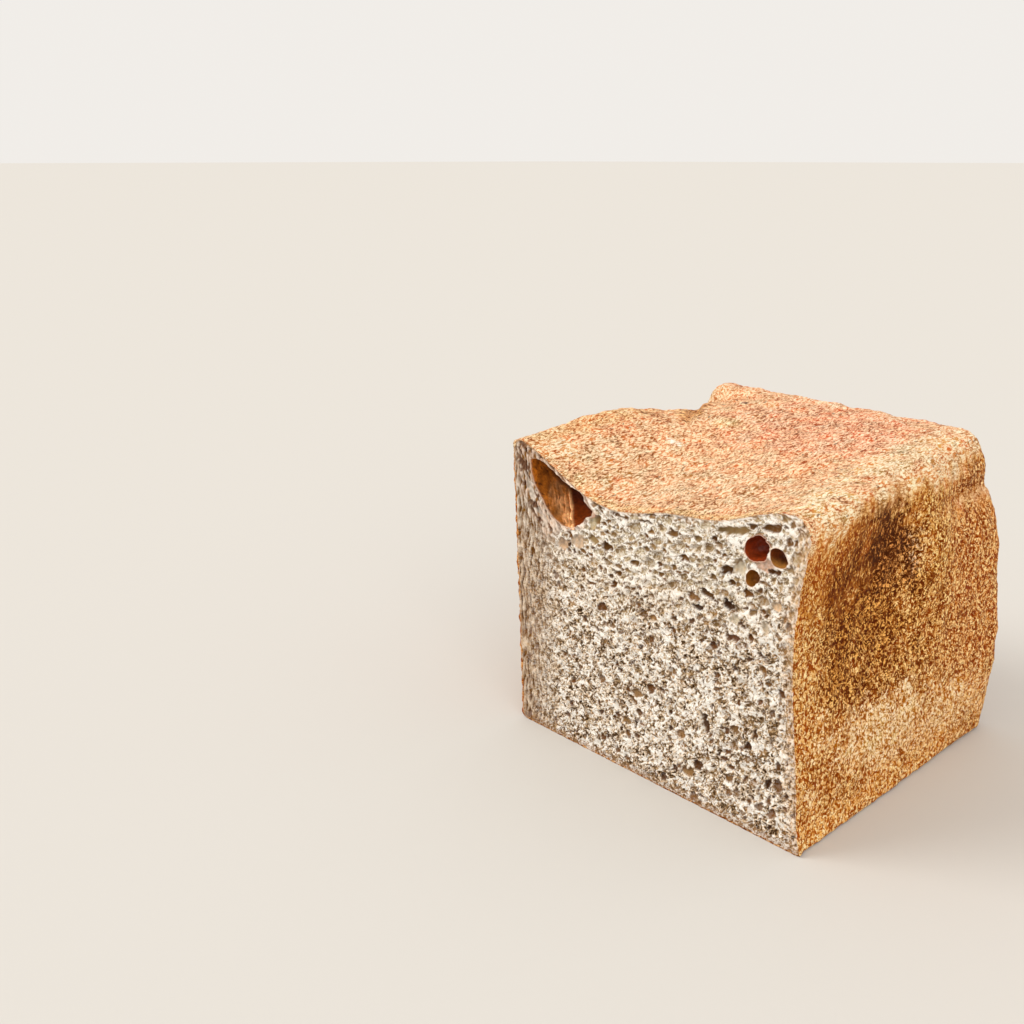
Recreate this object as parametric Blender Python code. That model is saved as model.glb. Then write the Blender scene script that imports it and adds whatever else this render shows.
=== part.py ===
# Half of a tin-baked wholemeal loaf, cut across the middle.
# It stands on its base with the cut face towards -Y, its round-edged end towards +Y and +Z up.
# The origin is under the middle of the loaf's box, on the surface that it stands on.

import math
import random

import bmesh
import bpy
import numpy as np
from mathutils import Matrix, Vector

MM = 0.001

# Outer size of the half
BASE_WIDTH = 117.6 * MM
DEPTH = 119.0 * MM
SIDE_RUNS_IN = 2.0 * MM          # how much each side comes in from the cut to the end
LEAN_LEFT = 5.6 * MM             # how far the top of the left wall stands out past its foot
LEFT_MIDDLE_CAVE = 2.0 * MM

# Top crust: almost flat at the end, fallen in towards the cut
TOP_AT_CUT = 105.4 * MM
TOP_AT_END = 107.2 * MM
TOP_SLOPE_AT_CUT = -0.04
TOP_SLOPE_AT_END = -0.016
SAG_DEPTH = 17.6 * MM
SAG_X = -14.6 * MM
SAG_REACH = 33.7 * MM
SHOULDER_SAG_DEPTH = 6.0 * MM
SHOULDER_SAG_X = 27.0 * MM
SHOULDER_SAG_REACH = 16.7 * MM
SAG_RUNS_BACK = 112.0 * MM
LEFT_RIM_SWELL = 1.8 * MM
LEFT_RIM_SWELL_Y = 36.0 * MM
LEFT_RIM_SWELL_REACH = 24.0 * MM

# Dent in the left top edge, ended by a steep step up to the corner
DENT_DEPTH = 6.6 * MM
DENT_STARTS_Y = 44.0 * MM
DENT_DEEPEST_Y = 92.0 * MM
STEP_STARTS_Y = 100.5 * MM
STEP_ENDS_Y = 107.0 * MM
DENT_EDGE_X = -58.0 * MM
DENT_INNER_X = -24.0 * MM

# Right wall at the cut: a flared foot and a long hollow curve
RIGHT_AT_CUT = 57.1 * MM
FOOT_FLARE = 2.1 * MM
FOOT_FLARE_HEIGHT = 4.7 * MM
RIGHT_CAVE = 6.3 * MM
RIGHT_CAVE_Z = 65.8 * MM
RIGHT_CAVE_REACH = 39.5 * MM

# Right wall at the end: full low down, leaning in at the top
RIGHT_AT_END = 56.8 * MM
END_BELLY = 2.9 * MM
END_BELLY_Z = 28.0 * MM
END_BELLY_REACH = 24.0 * MM
END_LEAN_IN = 12.0 * MM
END_LEAN_Z = 85.0 * MM
END_LEAN_SPREAD = 7.6 * MM
END_GROOVE = 1.6 * MM
END_GROOVE_Z = 89.0 * MM
END_GROOVE_REACH = 3.2 * MM

# Sunken place on the right wall and the ridge behind it
PRESS_DEPTH = 2.6 * MM
PRESS_Y = 44.0 * MM
PRESS_Y_REACH = 21.0 * MM
PRESS_Z = 72.0 * MM
PRESS_Z_REACH = 30.0 * MM
RIDGE_HEIGHT = 2.4 * MM
RIDGE_Y = 72.0 * MM
RIDGE_Y_REACH = 12.0 * MM
RIDGE_Z = 84.0 * MM
RIDGE_Z_REACH = 30.0 * MM

# Corner radii, seen from the cut, and the rounding all round the end
TOP_LEFT_RADIUS = 5.5 * MM
TOP_RIGHT_RADIUS = 9.0 * MM
BASE_RADIUS = 2.2 * MM
END_RADIUS = 8.0 * MM
END_BASE_RADIUS = 4.0 * MM
END_CAVE = 2.6 * MM
END_CAVE_REACH = 36.0 * MM

# Unevenness of the crust
WAVE_HEIGHT = 0.26 * MM
WAVE_LENGTH = 17.0 * MM

# Points round the half and along it
SIDE_STEPS = 15
TOP_STEPS = 22
BASE_STEPS = 8
CORNER_STEPS = 4
STATIONS = 23
END_STEPS = 3
END_RINGS = (0.8, 0.55, 0.3, 0.1)

# The big hollow under the top crust
HOLLOW_X = -42.2 * MM
HOLLOW_Z = 86.4 * MM
HOLLOW_Y = 3.0 * MM
HOLLOW_DEPTH = 20.0 * MM
HOLLOW_TILT = math.radians(29)
HOLLOW_SQUARENESS = 2.5
# Its outline is a rounded polygon: the way each side faces, in degrees, and its distance from the middle
HOLLOW_SIDES = ((96, 6.8 * MM), (-29, 9.0 * MM), (-90, 7.4 * MM), (-119, 6.9 * MM), (180, 17.5 * MM))
HOLLOW_CORNERS = 6.0
HOLLOW_STEPS = 34
HOLLOW_RINGS = 14
# Circles along it that small bubbles keep out of
HOLLOW_GUARD_STEP = 4.6 * MM
HOLLOW_GUARD_RADIUS = 9.6 * MM

# Bubbles that stand out on the cut: x and z in millimetres, then half width, half height and half depth,
# then the tilt in degrees
BIG_BUBBLES = (
    (35.9, 89.4, 4.3, 3.7, 5.0, 8),
    (43.7, 88.0, 3.1, 2.2, 3.6, -38),
    (35.3, 80.1, 2.2, 2.7, 3.6, 5),
    (42.6, 83.6, 2.1, 0.9, 2.0, 0),
    (26.0, 91.4, 6.2, 0.9, 2.6, 5),
    (40.0, 96.0, 4.0, 0.8, 2.2, 4),
    (21.6, 76.6, 2.1, 1.1, 1.8, -3),
    (30.2, 82.6, 2.2, 2.4, 1.2, 30),
    (19.6, 70.6, 3.7, 1.2, 2.6, -14),
    (29.6, 60.0, 3.2, 1.2, 2.4, 14),
    (21.4, 29.0, 1.6, 4.9, 3.0, 28),
    (-7.6, 26.0, 2.9, 1.1, 2.2, -22),
    (-27.0, 76.0, 2.8, 1.6, 1.8, -14),
)

# Small bubbles of the crumb
SMALL_BUBBLES = 100
SMALL_BUBBLE_RADIUS = 1.15 * MM
SMALL_BUBBLE_SPREAD = 0.75 * MM
SMALL_BUBBLE_EDGE = 4.5 * MM
SMALL_BUBBLE_GAP = 1.1 * MM
SMALL_BUBBLE_FINE = 1.5 * MM
SMALL_BUBBLE_TRIES = 6000
BUBBLE_SEED = 11

CRUST_COLOUR = (0.46, 0.235, 0.085, 1.0)
CRUST_ROUGHNESS = 0.78


def ease(start, end, t):
    """A smooth rise from 0 at start to 1 at end."""
    s = np.clip((t - start) / (end - start), 0.0, 1.0)
    return s * s * (3.0 - 2.0 * s)


def bump(t, centre, reach):
    """A soft bell, 1 at its centre."""
    return np.exp(-(((t - centre) / reach) ** 2))


def top_height(x, y):
    """Height of the top crust. y runs from 0 at the cut to DEPTH at the end."""
    along = ease(0.0, DEPTH, y)
    at_cut = TOP_AT_CUT + TOP_SLOPE_AT_CUT * x
    at_end = TOP_AT_END + TOP_SLOPE_AT_END * x
    sag = SAG_DEPTH * bump(x, SAG_X, SAG_REACH)
    sag = sag + SHOULDER_SAG_DEPTH * bump(x, SHOULDER_SAG_X, SHOULDER_SAG_REACH)
    fallen = 1.0 - ease(-0.25 * SAG_RUNS_BACK, SAG_RUNS_BACK, y)
    fallen = fallen / (1.0 - ease(-0.25 * SAG_RUNS_BACK, SAG_RUNS_BACK, 0.0))
    swell = LEFT_RIM_SWELL * bump(y, LEFT_RIM_SWELL_Y, LEFT_RIM_SWELL_REACH)
    swell = swell * (1.0 - ease(DENT_EDGE_X, DENT_INNER_X, x))
    dent = ease(DENT_STARTS_Y, DENT_DEEPEST_Y, y) * (1.0 - ease(STEP_STARTS_Y, STEP_ENDS_Y, y))
    dent = DENT_DEPTH * dent * (1.0 - ease(DENT_EDGE_X, DENT_INNER_X, x))
    return at_cut * (1.0 - along) + at_end * along - sag * fallen + swell - dent


def right_wall(z, y):
    """Distance of the right wall from the middle of the cut's foot."""
    at_cut = RIGHT_AT_CUT + FOOT_FLARE * np.exp(-z / FOOT_FLARE_HEIGHT)
    at_cut = at_cut - RIGHT_CAVE * bump(z, RIGHT_CAVE_Z, RIGHT_CAVE_REACH)
    at_end = RIGHT_AT_END + END_BELLY * bump(z, END_BELLY_Z, END_BELLY_REACH)
    at_end = at_end - END_LEAN_IN / (1.0 + np.exp(-(z - END_LEAN_Z) / END_LEAN_SPREAD))
    at_end = at_end - END_GROOVE * bump(z, END_GROOVE_Z, END_GROOVE_REACH)
    along = ease(0.15 * DEPTH, DEPTH, y)
    press = PRESS_DEPTH * bump(y, PRESS_Y, PRESS_Y_REACH) * bump(z, PRESS_Z, PRESS_Z_REACH)
    ridge = RIDGE_HEIGHT * bump(y, RIDGE_Y, RIDGE_Y_REACH) * bump(z, RIDGE_Z, RIDGE_Z_REACH)
    return at_cut * (1.0 - along) + at_end * along - press + ridge


def left_wall(z, y):
    """The left wall, which leans outwards and is a little hollow half way along."""
    foot = -0.5 * BASE_WIDTH + SIDE_RUNS_IN * ease(0.0, DEPTH, y)
    cave = LEFT_MIDDLE_CAVE * bump(y, 0.55 * DEPTH, 0.3 * DEPTH) * bump(z, 0.5 * TOP_AT_END, 0.3 * TOP_AT_END)
    return foot - LEAN_LEFT * z / TOP_AT_CUT + cave


def place(u, v, y):
    """Puts a point of the unit square into the cross-section at y."""
    first_x = (u - 0.5) * BASE_WIDTH
    z = v * top_height(first_x, y)
    return left_wall(z, y) * (1.0 - u) + right_wall(z, y) * u, z


def square_path():
    """The unit square with round corners, anticlockwise from the bottom left, as u and v."""
    width, height = BASE_WIDTH, TOP_AT_CUT
    corners = (
        (1.0, 0.0, BASE_RADIUS, SIDE_STEPS),
        (1.0, 1.0, TOP_RIGHT_RADIUS, TOP_STEPS),
        (0.0, 1.0, TOP_LEFT_RADIUS, SIDE_STEPS),
        (0.0, 0.0, BASE_RADIUS, BASE_STEPS),
    )
    path = []
    for index, (u, v, radius, steps) in enumerate(corners):
        ru, rv = radius / width, radius / height
        centre_u = u + ru * (1.0 - 2.0 * u)
        centre_v = v + rv * (1.0 - 2.0 * v)
        start = math.radians(90 * index - 90)
        for step in range(CORNER_STEPS + 1):
            angle = start + math.radians(90) * step / CORNER_STEPS
            path.append((centre_u + ru * math.cos(angle), centre_v + rv * math.sin(angle)))
        after = corners[(index + 1) % len(corners)]
        to_u = after[0] + after[2] / width * (1.0 - 2.0 * after[0]) if index % 2 else path[-1][0]
        to_v = after[1] + after[2] / height * (1.0 - 2.0 * after[1]) if index % 2 == 0 else path[-1][1]
        from_u, from_v = path[-1]
        for step in range(1, steps):
            t = step / steps
            path.append((from_u + (to_u - from_u) * t, from_v + (to_v - from_v) * t))
    u, v = np.array(path).T
    return u, v


def inset(u, v, distance, base_distance):
    """Draws the path in from the sides and top by one distance and from the base by another."""
    du = distance / BASE_WIDTH
    dv = distance / TOP_AT_END
    base_dv = base_distance / TOP_AT_END
    return du + u * (1.0 - 2.0 * du), base_dv + v * (1.0 - dv - base_dv)


def wave(x, y, z):
    """Low uneven swells of the crust, the same on every run."""
    k = 2.0 * math.pi / WAVE_LENGTH
    swell = np.sin(k * (x + 0.4 * y) + 1.3) * np.sin(k * (0.8 * y - 0.5 * z) + 0.4)
    ripple = np.sin(1.9 * k * (0.7 * x - 0.6 * z) + 2.1) * np.sin(1.7 * k * (y + 0.3 * x))
    return WAVE_HEIGHT * (swell + 0.6 * ripple)


def ring_at(y, u, v, centre_y=None):
    """Points of one ring in the loaf's own frame, with the swells of the crust away from the base and the cut."""
    x, z = place(u, v, y)
    depth = np.full_like(x, y if centre_y is None else centre_y)
    fade = ease(0.0, 12.0 * MM, z) * ease(2.0 * MM, 14.0 * MM, depth)
    out_u, out_v = u - 0.5, v - 0.5
    length = np.hypot(out_u, out_v) + 1e-9
    lift = wave(x, depth, z) * fade
    return np.stack([x + lift * out_u / length, depth, z + lift * np.maximum(out_v, 0.0) / length], axis=1)


def loaf_rings():
    """Rings from the cut, round the end's edge and in over the end crust."""
    u, v = square_path()
    straight = DEPTH - END_RADIUS
    rings = [ring_at(straight * t, u, v) for t in np.linspace(0.0, 1.0, STATIONS)]
    for step in range(1, END_STEPS + 1):
        angle = 0.5 * math.pi * step / END_STEPS
        drawn_in = 1.0 - math.cos(angle)
        ring_u, ring_v = inset(u, v, END_RADIUS * drawn_in, END_BASE_RADIUS * drawn_in)
        rings.append(ring_at(straight + END_RADIUS * math.sin(angle), ring_u, ring_v))
    edge_u, edge_v = inset(u, v, END_RADIUS, END_BASE_RADIUS)
    for scale in END_RINGS:
        ring = ring_at(DEPTH, 0.5 + (edge_u - 0.5) * scale, 0.5 + (edge_v - 0.5) * scale)
        ring[:, 1] = DEPTH - end_cave(ring[:, 0], ring[:, 2])
        rings.append(ring)
    return rings


def end_cave(x, z):
    """How far the end crust has sunk in."""
    return END_CAVE * bump(x, SAG_X, END_CAVE_REACH) * bump(z, 0.5 * TOP_AT_END, END_CAVE_REACH)


def box_middle(rings):
    """Middle of the loaf's box across and along."""
    points = np.concatenate(rings)
    return 0.5 * (points.min(axis=0) + points.max(axis=0))


def make_object(name, mesh_data, collection, material=None):
    """A mesh object from a bmesh, in one collection."""
    mesh = bpy.data.meshes.new(name)
    bmesh.ops.recalc_face_normals(mesh_data, faces=mesh_data.faces[:])
    mesh_data.to_mesh(mesh)
    mesh_data.free()
    if material:
        mesh.materials.append(material)
    thing = bpy.data.objects.new(name, mesh)
    collection.objects.link(thing)
    return thing


def loft(rings):
    """Skins the rings, closes the cut with one flat face and the end with a fan."""
    skin = bmesh.new()
    rows = [[skin.verts.new(point) for point in ring] for ring in rings]
    count = len(rows[0])
    for row, following in zip(rows, rows[1:]):
        for i in range(count):
            j = (i + 1) % count
            skin.faces.new((row[i], following[i], following[j], row[j]))
    skin.faces.new(rows[0])
    middle = skin.verts.new(np.mean(rings[-1], axis=0))
    for i in range(count):
        skin.faces.new((rows[-1][i], middle, rows[-1][(i + 1) % count]))
    return skin


def ellipsoid(centre, half_sizes, tilt, subdivisions):
    """An ellipsoid tilted about Y, as it is seen on the cut."""
    blob = bmesh.new()
    bmesh.ops.create_icosphere(blob, subdivisions=subdivisions, radius=1.0)
    turn = Matrix.Rotation(tilt, 4, "Y")
    size = Matrix.Diagonal((*half_sizes, 1.0))
    bmesh.ops.transform(blob, matrix=Matrix.Translation(centre) @ turn @ size, verts=blob.verts[:])
    return blob


def hollow_reach(angle):
    """Distance from the hollow's middle to its outline, that way."""
    total = 0.0
    for facing, distance in HOLLOW_SIDES:
        towards = math.cos(angle - math.radians(facing))
        total += (max(towards, 0.0) / distance) ** HOLLOW_CORNERS
    return total ** (-1.0 / HOLLOW_CORNERS)


def hollow_blob(centre):
    """The hollow: its outline on the cut, closing with depth."""
    blob = bmesh.new()
    bmesh.ops.create_uvsphere(blob, u_segments=HOLLOW_STEPS, v_segments=HOLLOW_RINGS, radius=1.0)
    for vert in blob.verts:
        x, z, y = vert.co
        vert.co = Vector((x, -y, z))
        across = math.hypot(x, z) / hollow_reach(math.atan2(z, x))
        inwards = abs(y) / HOLLOW_DEPTH
        vert.co *= (across ** HOLLOW_SQUARENESS + inwards ** HOLLOW_SQUARENESS) ** (-1.0 / HOLLOW_SQUARENESS)
    turn = Matrix.Rotation(HOLLOW_TILT, 4, "Y")
    bmesh.ops.transform(blob, matrix=Matrix.Translation(centre) @ turn, verts=blob.verts[:])
    return blob


def big_bubbles(middle):
    """Cutters for the hollow and the bubbles that stand out."""
    hollow_centre = Vector((HOLLOW_X, HOLLOW_Y, HOLLOW_Z)) - Vector((middle[0], middle[1], 0.0))
    yield "hollow_cutter", hollow_blob(hollow_centre)
    for index, (x, z, half_width, half_height, half_depth, tilt) in enumerate(BIG_BUBBLES):
        centre = Vector((x * MM - middle[0], 0.3 * half_depth * MM - middle[1], z * MM))
        half_sizes = (half_width * MM, half_depth * MM, half_height * MM)
        yield f"bubble_cutter_{index}", ellipsoid(centre, half_sizes, math.radians(-tilt), 2)


def taken_places():
    """Circles round the hollow and the big bubbles that small bubbles keep out of."""
    circles = []
    for step in range(-3, 3):
        x = HOLLOW_X + step * HOLLOW_GUARD_STEP * math.cos(HOLLOW_TILT)
        z = HOLLOW_Z - step * HOLLOW_GUARD_STEP * math.sin(HOLLOW_TILT)
        circles.append((x, z, HOLLOW_GUARD_RADIUS))
    for x, z, half_width, half_height, _, _ in BIG_BUBBLES:
        circles.append((x * MM, z * MM, max(half_width, half_height) * MM * 1.1))
    return circles


def small_bubbles(middle):
    """Cutters for scattered bubbles: flat ones that follow the top crust, upright ones along the walls."""
    draw = random.Random(BUBBLE_SEED)
    taken = taken_places()
    made = 0
    for _ in range(SMALL_BUBBLE_TRIES):
        if made == SMALL_BUBBLES:
            return
        x = draw.uniform(-0.5, 0.5) * BASE_WIDTH
        z = draw.uniform(0.0, 1.0) * TOP_AT_CUT
        radius = SMALL_BUBBLE_RADIUS + SMALL_BUBBLE_SPREAD * draw.random() ** 2
        below_top = top_height(x, 0.0) - z
        beside_wall = min(right_wall(z, 0.0) - x, x - left_wall(z, 0.0))
        if min(below_top, beside_wall, z) < SMALL_BUBBLE_EDGE:
            continue
        near_top = 1.0 - ease(10.0 * MM, 42.0 * MM, below_top)
        near_wall = 1.0 - ease(6.0 * MM, 16.0 * MM, beside_wall)
        stretch = 1.0 + 0.8 * near_top * (1.0 - near_wall) - 0.4 * near_wall
        size = radius * (1.0 + 0.35 * near_top)
        if any(math.hypot(x - tx, z - tz) < size * max(stretch, 1.0) + tr + SMALL_BUBBLE_GAP for tx, tz, tr in taken):
            continue
        taken.append((x, z, size * max(stretch, 1.0 / stretch)))
        slope = (top_height(x + MM, 0.0) - top_height(x - MM, 0.0)) / (2.0 * MM)
        tilt = -math.atan(slope) * near_top + draw.uniform(-0.4, 0.4) * (1.0 - near_wall)
        centre = Vector((x - middle[0], 0.15 * size - middle[1], z))
        half_sizes = (size * stretch, size * draw.uniform(0.8, 1.3), size / stretch)
        fineness = 2 if size > SMALL_BUBBLE_FINE else 1
        yield f"crumb_cutter_{made}", ellipsoid(centre, half_sizes, tilt, fineness)
        made += 1


def crust_material():
    """Baked crust."""
    material = bpy.data.materials.new("crust")
    material.use_nodes = True
    shader = material.node_tree.nodes["Principled BSDF"]
    shader.inputs["Base Color"].default_value = CRUST_COLOUR
    shader.inputs["Roughness"].default_value = CRUST_ROUGHNESS
    shader.inputs["Metallic"].default_value = 0.0
    return material


def clear_scene():
    for thing in list(bpy.data.objects):
        bpy.data.objects.remove(thing, do_unlink=True)


def new_collection(name):
    collection = bpy.data.collections.new(name)
    bpy.context.scene.collection.children.link(collection)
    return collection


def main():
    clear_scene()
    parts = new_collection("wholemeal_half_loaf")
    cutters = new_collection("bubble_cutters")
    rings = loaf_rings()
    middle = box_middle(rings)
    for ring in rings:
        ring[:, :2] -= middle[:2]
    loaf = make_object("half_loaf", loft(rings), parts, crust_material())
    for name, blob in (*big_bubbles(middle), *small_bubbles(middle)):
        cutter = make_object(name, blob, cutters)
        cutter.display_type = "WIRE"
        cutter.hide_render = True
    cut = loaf.modifiers.new("bubbles", "BOOLEAN")
    cut.operation = "DIFFERENCE"
    cut.operand_type = "COLLECTION"
    cut.collection = cutters
    cut.solver = "EXACT"
    loaf.data.shade_smooth()
    loaf.data.set_sharp_from_angle(angle=math.radians(40))


main()
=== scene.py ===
import math

import bpy
import numpy as np
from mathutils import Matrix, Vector


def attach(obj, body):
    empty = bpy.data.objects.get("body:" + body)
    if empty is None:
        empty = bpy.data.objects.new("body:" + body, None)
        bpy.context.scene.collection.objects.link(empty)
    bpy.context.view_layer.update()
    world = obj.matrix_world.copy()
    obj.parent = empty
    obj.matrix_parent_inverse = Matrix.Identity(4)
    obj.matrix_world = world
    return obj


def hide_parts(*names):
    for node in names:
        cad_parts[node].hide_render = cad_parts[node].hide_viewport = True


# The form repeats part.py in millimetres: x from the middle of the cut's foot, y back from the cut, z up.
# A swelling or hollow place is its middle, its reach and its height.
BASE_WIDTH, DEPTH = 117.6, 119
SIDE_RUNS_IN = 2
LEAN_LEFT = 5.6
LEFT_MIDDLE_CAVE = 2
TOP_AT_CUT, TOP_SLOPE_AT_CUT = 105.4, -0.04
TOP_AT_END, TOP_SLOPE_AT_END = 107.2, -0.016
SAG, SHOULDER_SAG = (-14.6, 33.7, 17.6), (27, 16.7, 6)
SAG_RUNS_BACK = 112
LEFT_RIM_SWELL = (36, 24, 1.8)
DENT_DEPTH = 6.6
DENT_DEEPENS, STEP_UP, DENT_INNER_EDGE = (44, 92), (100.5, 107), (-58, -24)
RIGHT_AT_CUT, RIGHT_AT_END = 57.1, 56.8
FOOT_FLARE, FOOT_FLARE_HEIGHT = 2.1, 4.7
RIGHT_CAVE = (65.8, 39.5, 6.3)
END_BELLY, END_GROOVE = (28, 24, 2.9), (89, 3.2, 1.6)
END_LEAN_IN, END_LEAN_Z, END_LEAN_SPREAD = 12, 85, 7.6
PRESS_Y, PRESS_Z = (44, 21, 2.6), (72, 30)
RIDGE_Y, RIDGE_Z = (72, 12, 2.4), (84, 30)
TOP_LEFT_RADIUS, TOP_RIGHT_RADIUS, BASE_RADIUS = 5.5, 9, 2.2
END_RADIUS, END_BASE_RADIUS = 8, 4
END_CAVE, END_CAVE_REACH = 2.6, 36
WAVE_HEIGHT, WAVE_LENGTH = 0.26, 17
STRAIGHT = DEPTH - END_RADIUS
FRAME_SHIFT = np.array((2.227, -0.5 * DEPTH, 0))

# The hollow and the round holes: middle, depth, squareness of the inside, roughness of the rim, points of the rim
OPENINGS = {
    "hollow": ((-42.2, 86.8), 17, 2.5, 0.05, (
        (-56, 97.2), (-53.4, 98.1), (-49.1, 97.3), (-46.2, 95.9), (-43.3, 94.3), (-40.2, 92.8), (-36.8, 91.6),
        (-33.1, 90.8), (-31.3, 89.6), (-30.4, 88), (-28.6, 86.7), (-26.4, 85.4), (-27.6, 84), (-29.9, 82.6),
        (-31.8, 80.6), (-35, 78.3), (-37.8, 77.6), (-40.4, 77.4), (-43, 78.5), (-45.7, 79.8), (-47.5, 81.3),
        (-50, 84.3), (-52.4, 87.2), (-54.6, 90.3), (-55.9, 93.6),
    )),
    "hole_a": ((36, 89.4), 6.5, 2, 0.06, (
        (32, 89.3), (32.8, 91.2), (34.5, 92.4), (36.3, 93.4), (38.7, 93), (38.9, 92.2), (40.2, 91),
        (39.8, 88.7), (39.2, 86.9), (36.9, 85.8), (33.9, 85.6), (32.2, 87),
    )),
    "hole_b": ((43.3, 88.4), 4.4, 2, 0.03, (
        (40.8, 90.4), (43.1, 91.2), (45.6, 89.7), (46.4, 87.8), (45.6, 86.2), (43.6, 85.7), (41.7, 86.1),
        (41, 87), (40.6, 88.4),
    )),
    "hole_c": ((35.3, 80.2), 4.4, 2, 0.06, (
        (33.5, 81.6), (35.3, 82.9), (36.9, 82.6), (37.8, 80.8), (36.6, 79), (35.1, 77.6), (33.6, 78),
        (33.1, 79.6),
    )),
}

# Smooth skins: x, z, half width, half height, tilt, hollowness, colour
SKINS = (
    (39.6, 85.2, 3.6, 2.3, 12, 0.5, (204, 158, 128)), (30.6, 81.9, 2.5, 2.6, 0, 1, (216, 200, 174)),
    (-40.2, 71.4, 3.4, 2.4, 22, 0.7, (196, 156, 118)), (-33.6, 73.6, 3.2, 2.8, 8, 0.7, (202, 166, 128)),
    (-27, 81.6, 1.7, 2.4, 6, 0.9, (196, 174, 130)), (30, 66, 2, 1.7, 30, 0.7, (214, 198, 170)),
    (40.9, 66.5, 1.3, 2.5, 5, 0.7, (212, 188, 156)), (43.6, 74, 1.7, 1.3, 10, 0.7, (220, 176, 126)),
    (-55.6, 86.6, 1.5, 5.6, 24, 0.2, (222, 208, 192)), (-49.6, 78.4, 1.2, 4.6, 42, 0.3, (226, 206, 188)),
)

# Bubbles that stand out: x, z, half width, half height, depth, tilt, darkness from 0 to 1, which is how much painted
# shade lies on the floor
PITS = (
    (42.5, 83.9, 2.2, 1.2, 1.6, 8, 0.75), (27.5, 92.5, 8.8, 1.3, 2.2, 13, 0.32), (40.3, 96.3, 4.8, 1.2, 1.8, 12, 0.6),
    (-15, 86.9, 5, 0.6, 1.5, -3, 0.75), (-5, 87.3, 4.4, 0.5, 1.4, 5, 0.7), (-23.5, 86.8, 2.6, 0.5, 1.2, -38, 0.7),
    (21.6, 76.6, 1.8, 1.1, 1.2, -3, 0.5), (30.2, 82.6, 2.4, 2.4, 1.3, 30, 0.12), (19.6, 70.6, 3.7, 1.1, 2, -14, 0.7),
    (29.6, 60, 3.2, 1.2, 2, 14, 0.6), (21.4, 29, 1.6, 4.9, 2.6, 28, 0.75), (-7.6, 26, 2.9, 1.1, 1.4, -22, 0.5),
    (-37.2, 71.8, 0.7, 1, 1.4, 0, 0.9), (-27, 76, 2.8, 1.6, 1.4, -14, 0.3), (-4.4, 78.8, 1.7, 0.9, 1.1, -8, 0.5),
    (-8.7, 73, 1.9, 1.1, 1.3, 6, 0.55), (6.8, 75.6, 1.8, 0.8, 1.1, -8, 0.5), (1.9, 72, 1.9, 0.9, 1.2, -12, 0.55),
    (-17.2, 63.5, 1.8, 1.3, 1.5, 10, 0.6), (-27.2, 61, 2.8, 0.6, 1.2, -8, 0.6), (7.4, 59.1, 1.6, 1.1, 1.6, 25, 0.75),
    (-0.5, 56.9, 2.2, 1.1, 1.2, 28, 0.35), (35.7, 62.1, 1.1, 1.4, 1.3, 10, 0.6),
    (36.1, 69.7, 0.9, 1.4, 1.2, -10, 0.45), (33.3, 70.4, 1.6, 0.6, 1.2, 38, 0.7), (-20.8, 79.9, 1.6, 0.8, 1, 0, 0.5),
    (-4.6, 82.9, 1.1, 0.7, 1, 0, 0.6), (-2.4, 82, 1.1, 0.6, 1, -6, 0.7), (15.6, 87.1, 2, 0.9, 1.2, -10, 0.4),
    (2.7, 80, 1.2, 0.9, 1, 0, 0.4), (22.7, 84.6, 1.3, 0.7, 1.1, 0, 0.5), (-11.4, 78.6, 2, 0.6, 1, 4, 0.4),
    (-25.2, 83.2, 1.3, 1.9, 2, 4, 0.3), (-1.3, 63.8, 1.7, 0.9, 1.1, -8, 0.45), (-1.5, 60.7, 1.3, 0.8, 1, 0, 0.5),
    (-7, 62.7, 0.9, 0.8, 1.2, 0, 0.8), (-11.4, 69.6, 1.6, 0.9, 0.9, 4, 0.25), (-31, 64.5, 1.1, 1.7, 1.1, -25, 0.55),
    (-51.8, 61.3, 1, 0.8, 1, 0, 0.7), (-10, 17.5, 2.6, 1.2, 1.3, -20, 0.3), (-6.2, 17.7, 1.2, 0.9, 1.9, -20, 0.95),
    (7.9, 27.2, 1.3, 1, 1.4, 20, 0.85), (8.2, 22.1, 1.3, 0.8, 1.3, 0, 0.8), (17.5, 44.8, 0.9, 0.6, 1, 0, 0.8),
    (36.2, 55.3, 1.5, 1, 1.4, 20, 0.7), (39.8, 57.8, 1.1, 0.9, 1.3, 0, 0.8), (41.2, 53.3, 1.3, 2, 1.2, 8, 0.35),
    (25.5, 44.1, 1.4, 0.9, 1, 0, 0.45), (-5.9, 28.7, 2.6, 1.3, 1.1, 8, 0.35), (12.7, 21.4, 2, 1.5, 1.1, 15, 0.3),
    (32.3, 31.1, 2.2, 1.5, 1.4, -15, 0.45), (39.4, 32, 1, 2.4, 1.5, -6, 0.7), (27.2, 20.1, 1.2, 0.9, 1.3, 0, 0.8),
    (37.4, 16.7, 1.1, 1.1, 1.2, 0, 0.6), (31.8, 18, 1.6, 0.9, 1.2, 10, 0.6), (16.2, 9.8, 3.2, 1.8, 1.3, 12, 0.4),
    (40.3, 11.9, 1.1, 0.9, 1.2, 0, 0.8), (-21.3, 16.2, 1.5, 1, 1.3, 0, 0.8),
)

# Crumbs that stand proud of the cut: x, z, half width, half height, tilt, height
LUMPS = (
    (-17.6, 39.4, 1.9, 1.4, 10, 0.8), (-16.6, 43.8, 1.5, 1.7, 60, 1), (30.4, 57.5, 1.6, 1.3, 0, 0.7),
    (32.5, 37.8, 1.6, 1.8, 30, 0.8), (45.1, 35.3, 1.2, 1.5, 50, 0.8), (-0.9, 3.8, 1.9, 0.5, 52, 1.1),
    (1, 6.4, 0.9, 0.4, 20, 0.6), (18, 62, 1.2, 0.9, 0, 0.5), (8, 47, 1.4, 1, 0, 0.6),
)
HOLLOW_KEEPS_CLEAR = ((-51, 92, 6), (-46, 88.5, 8), (-40.5, 85.5, 8), (-35, 84.6, 7), (-31, 85, 4.5))

# Pale crumb at the rim of an opening
RIM_PALE = (226, 196, 172)


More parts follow.
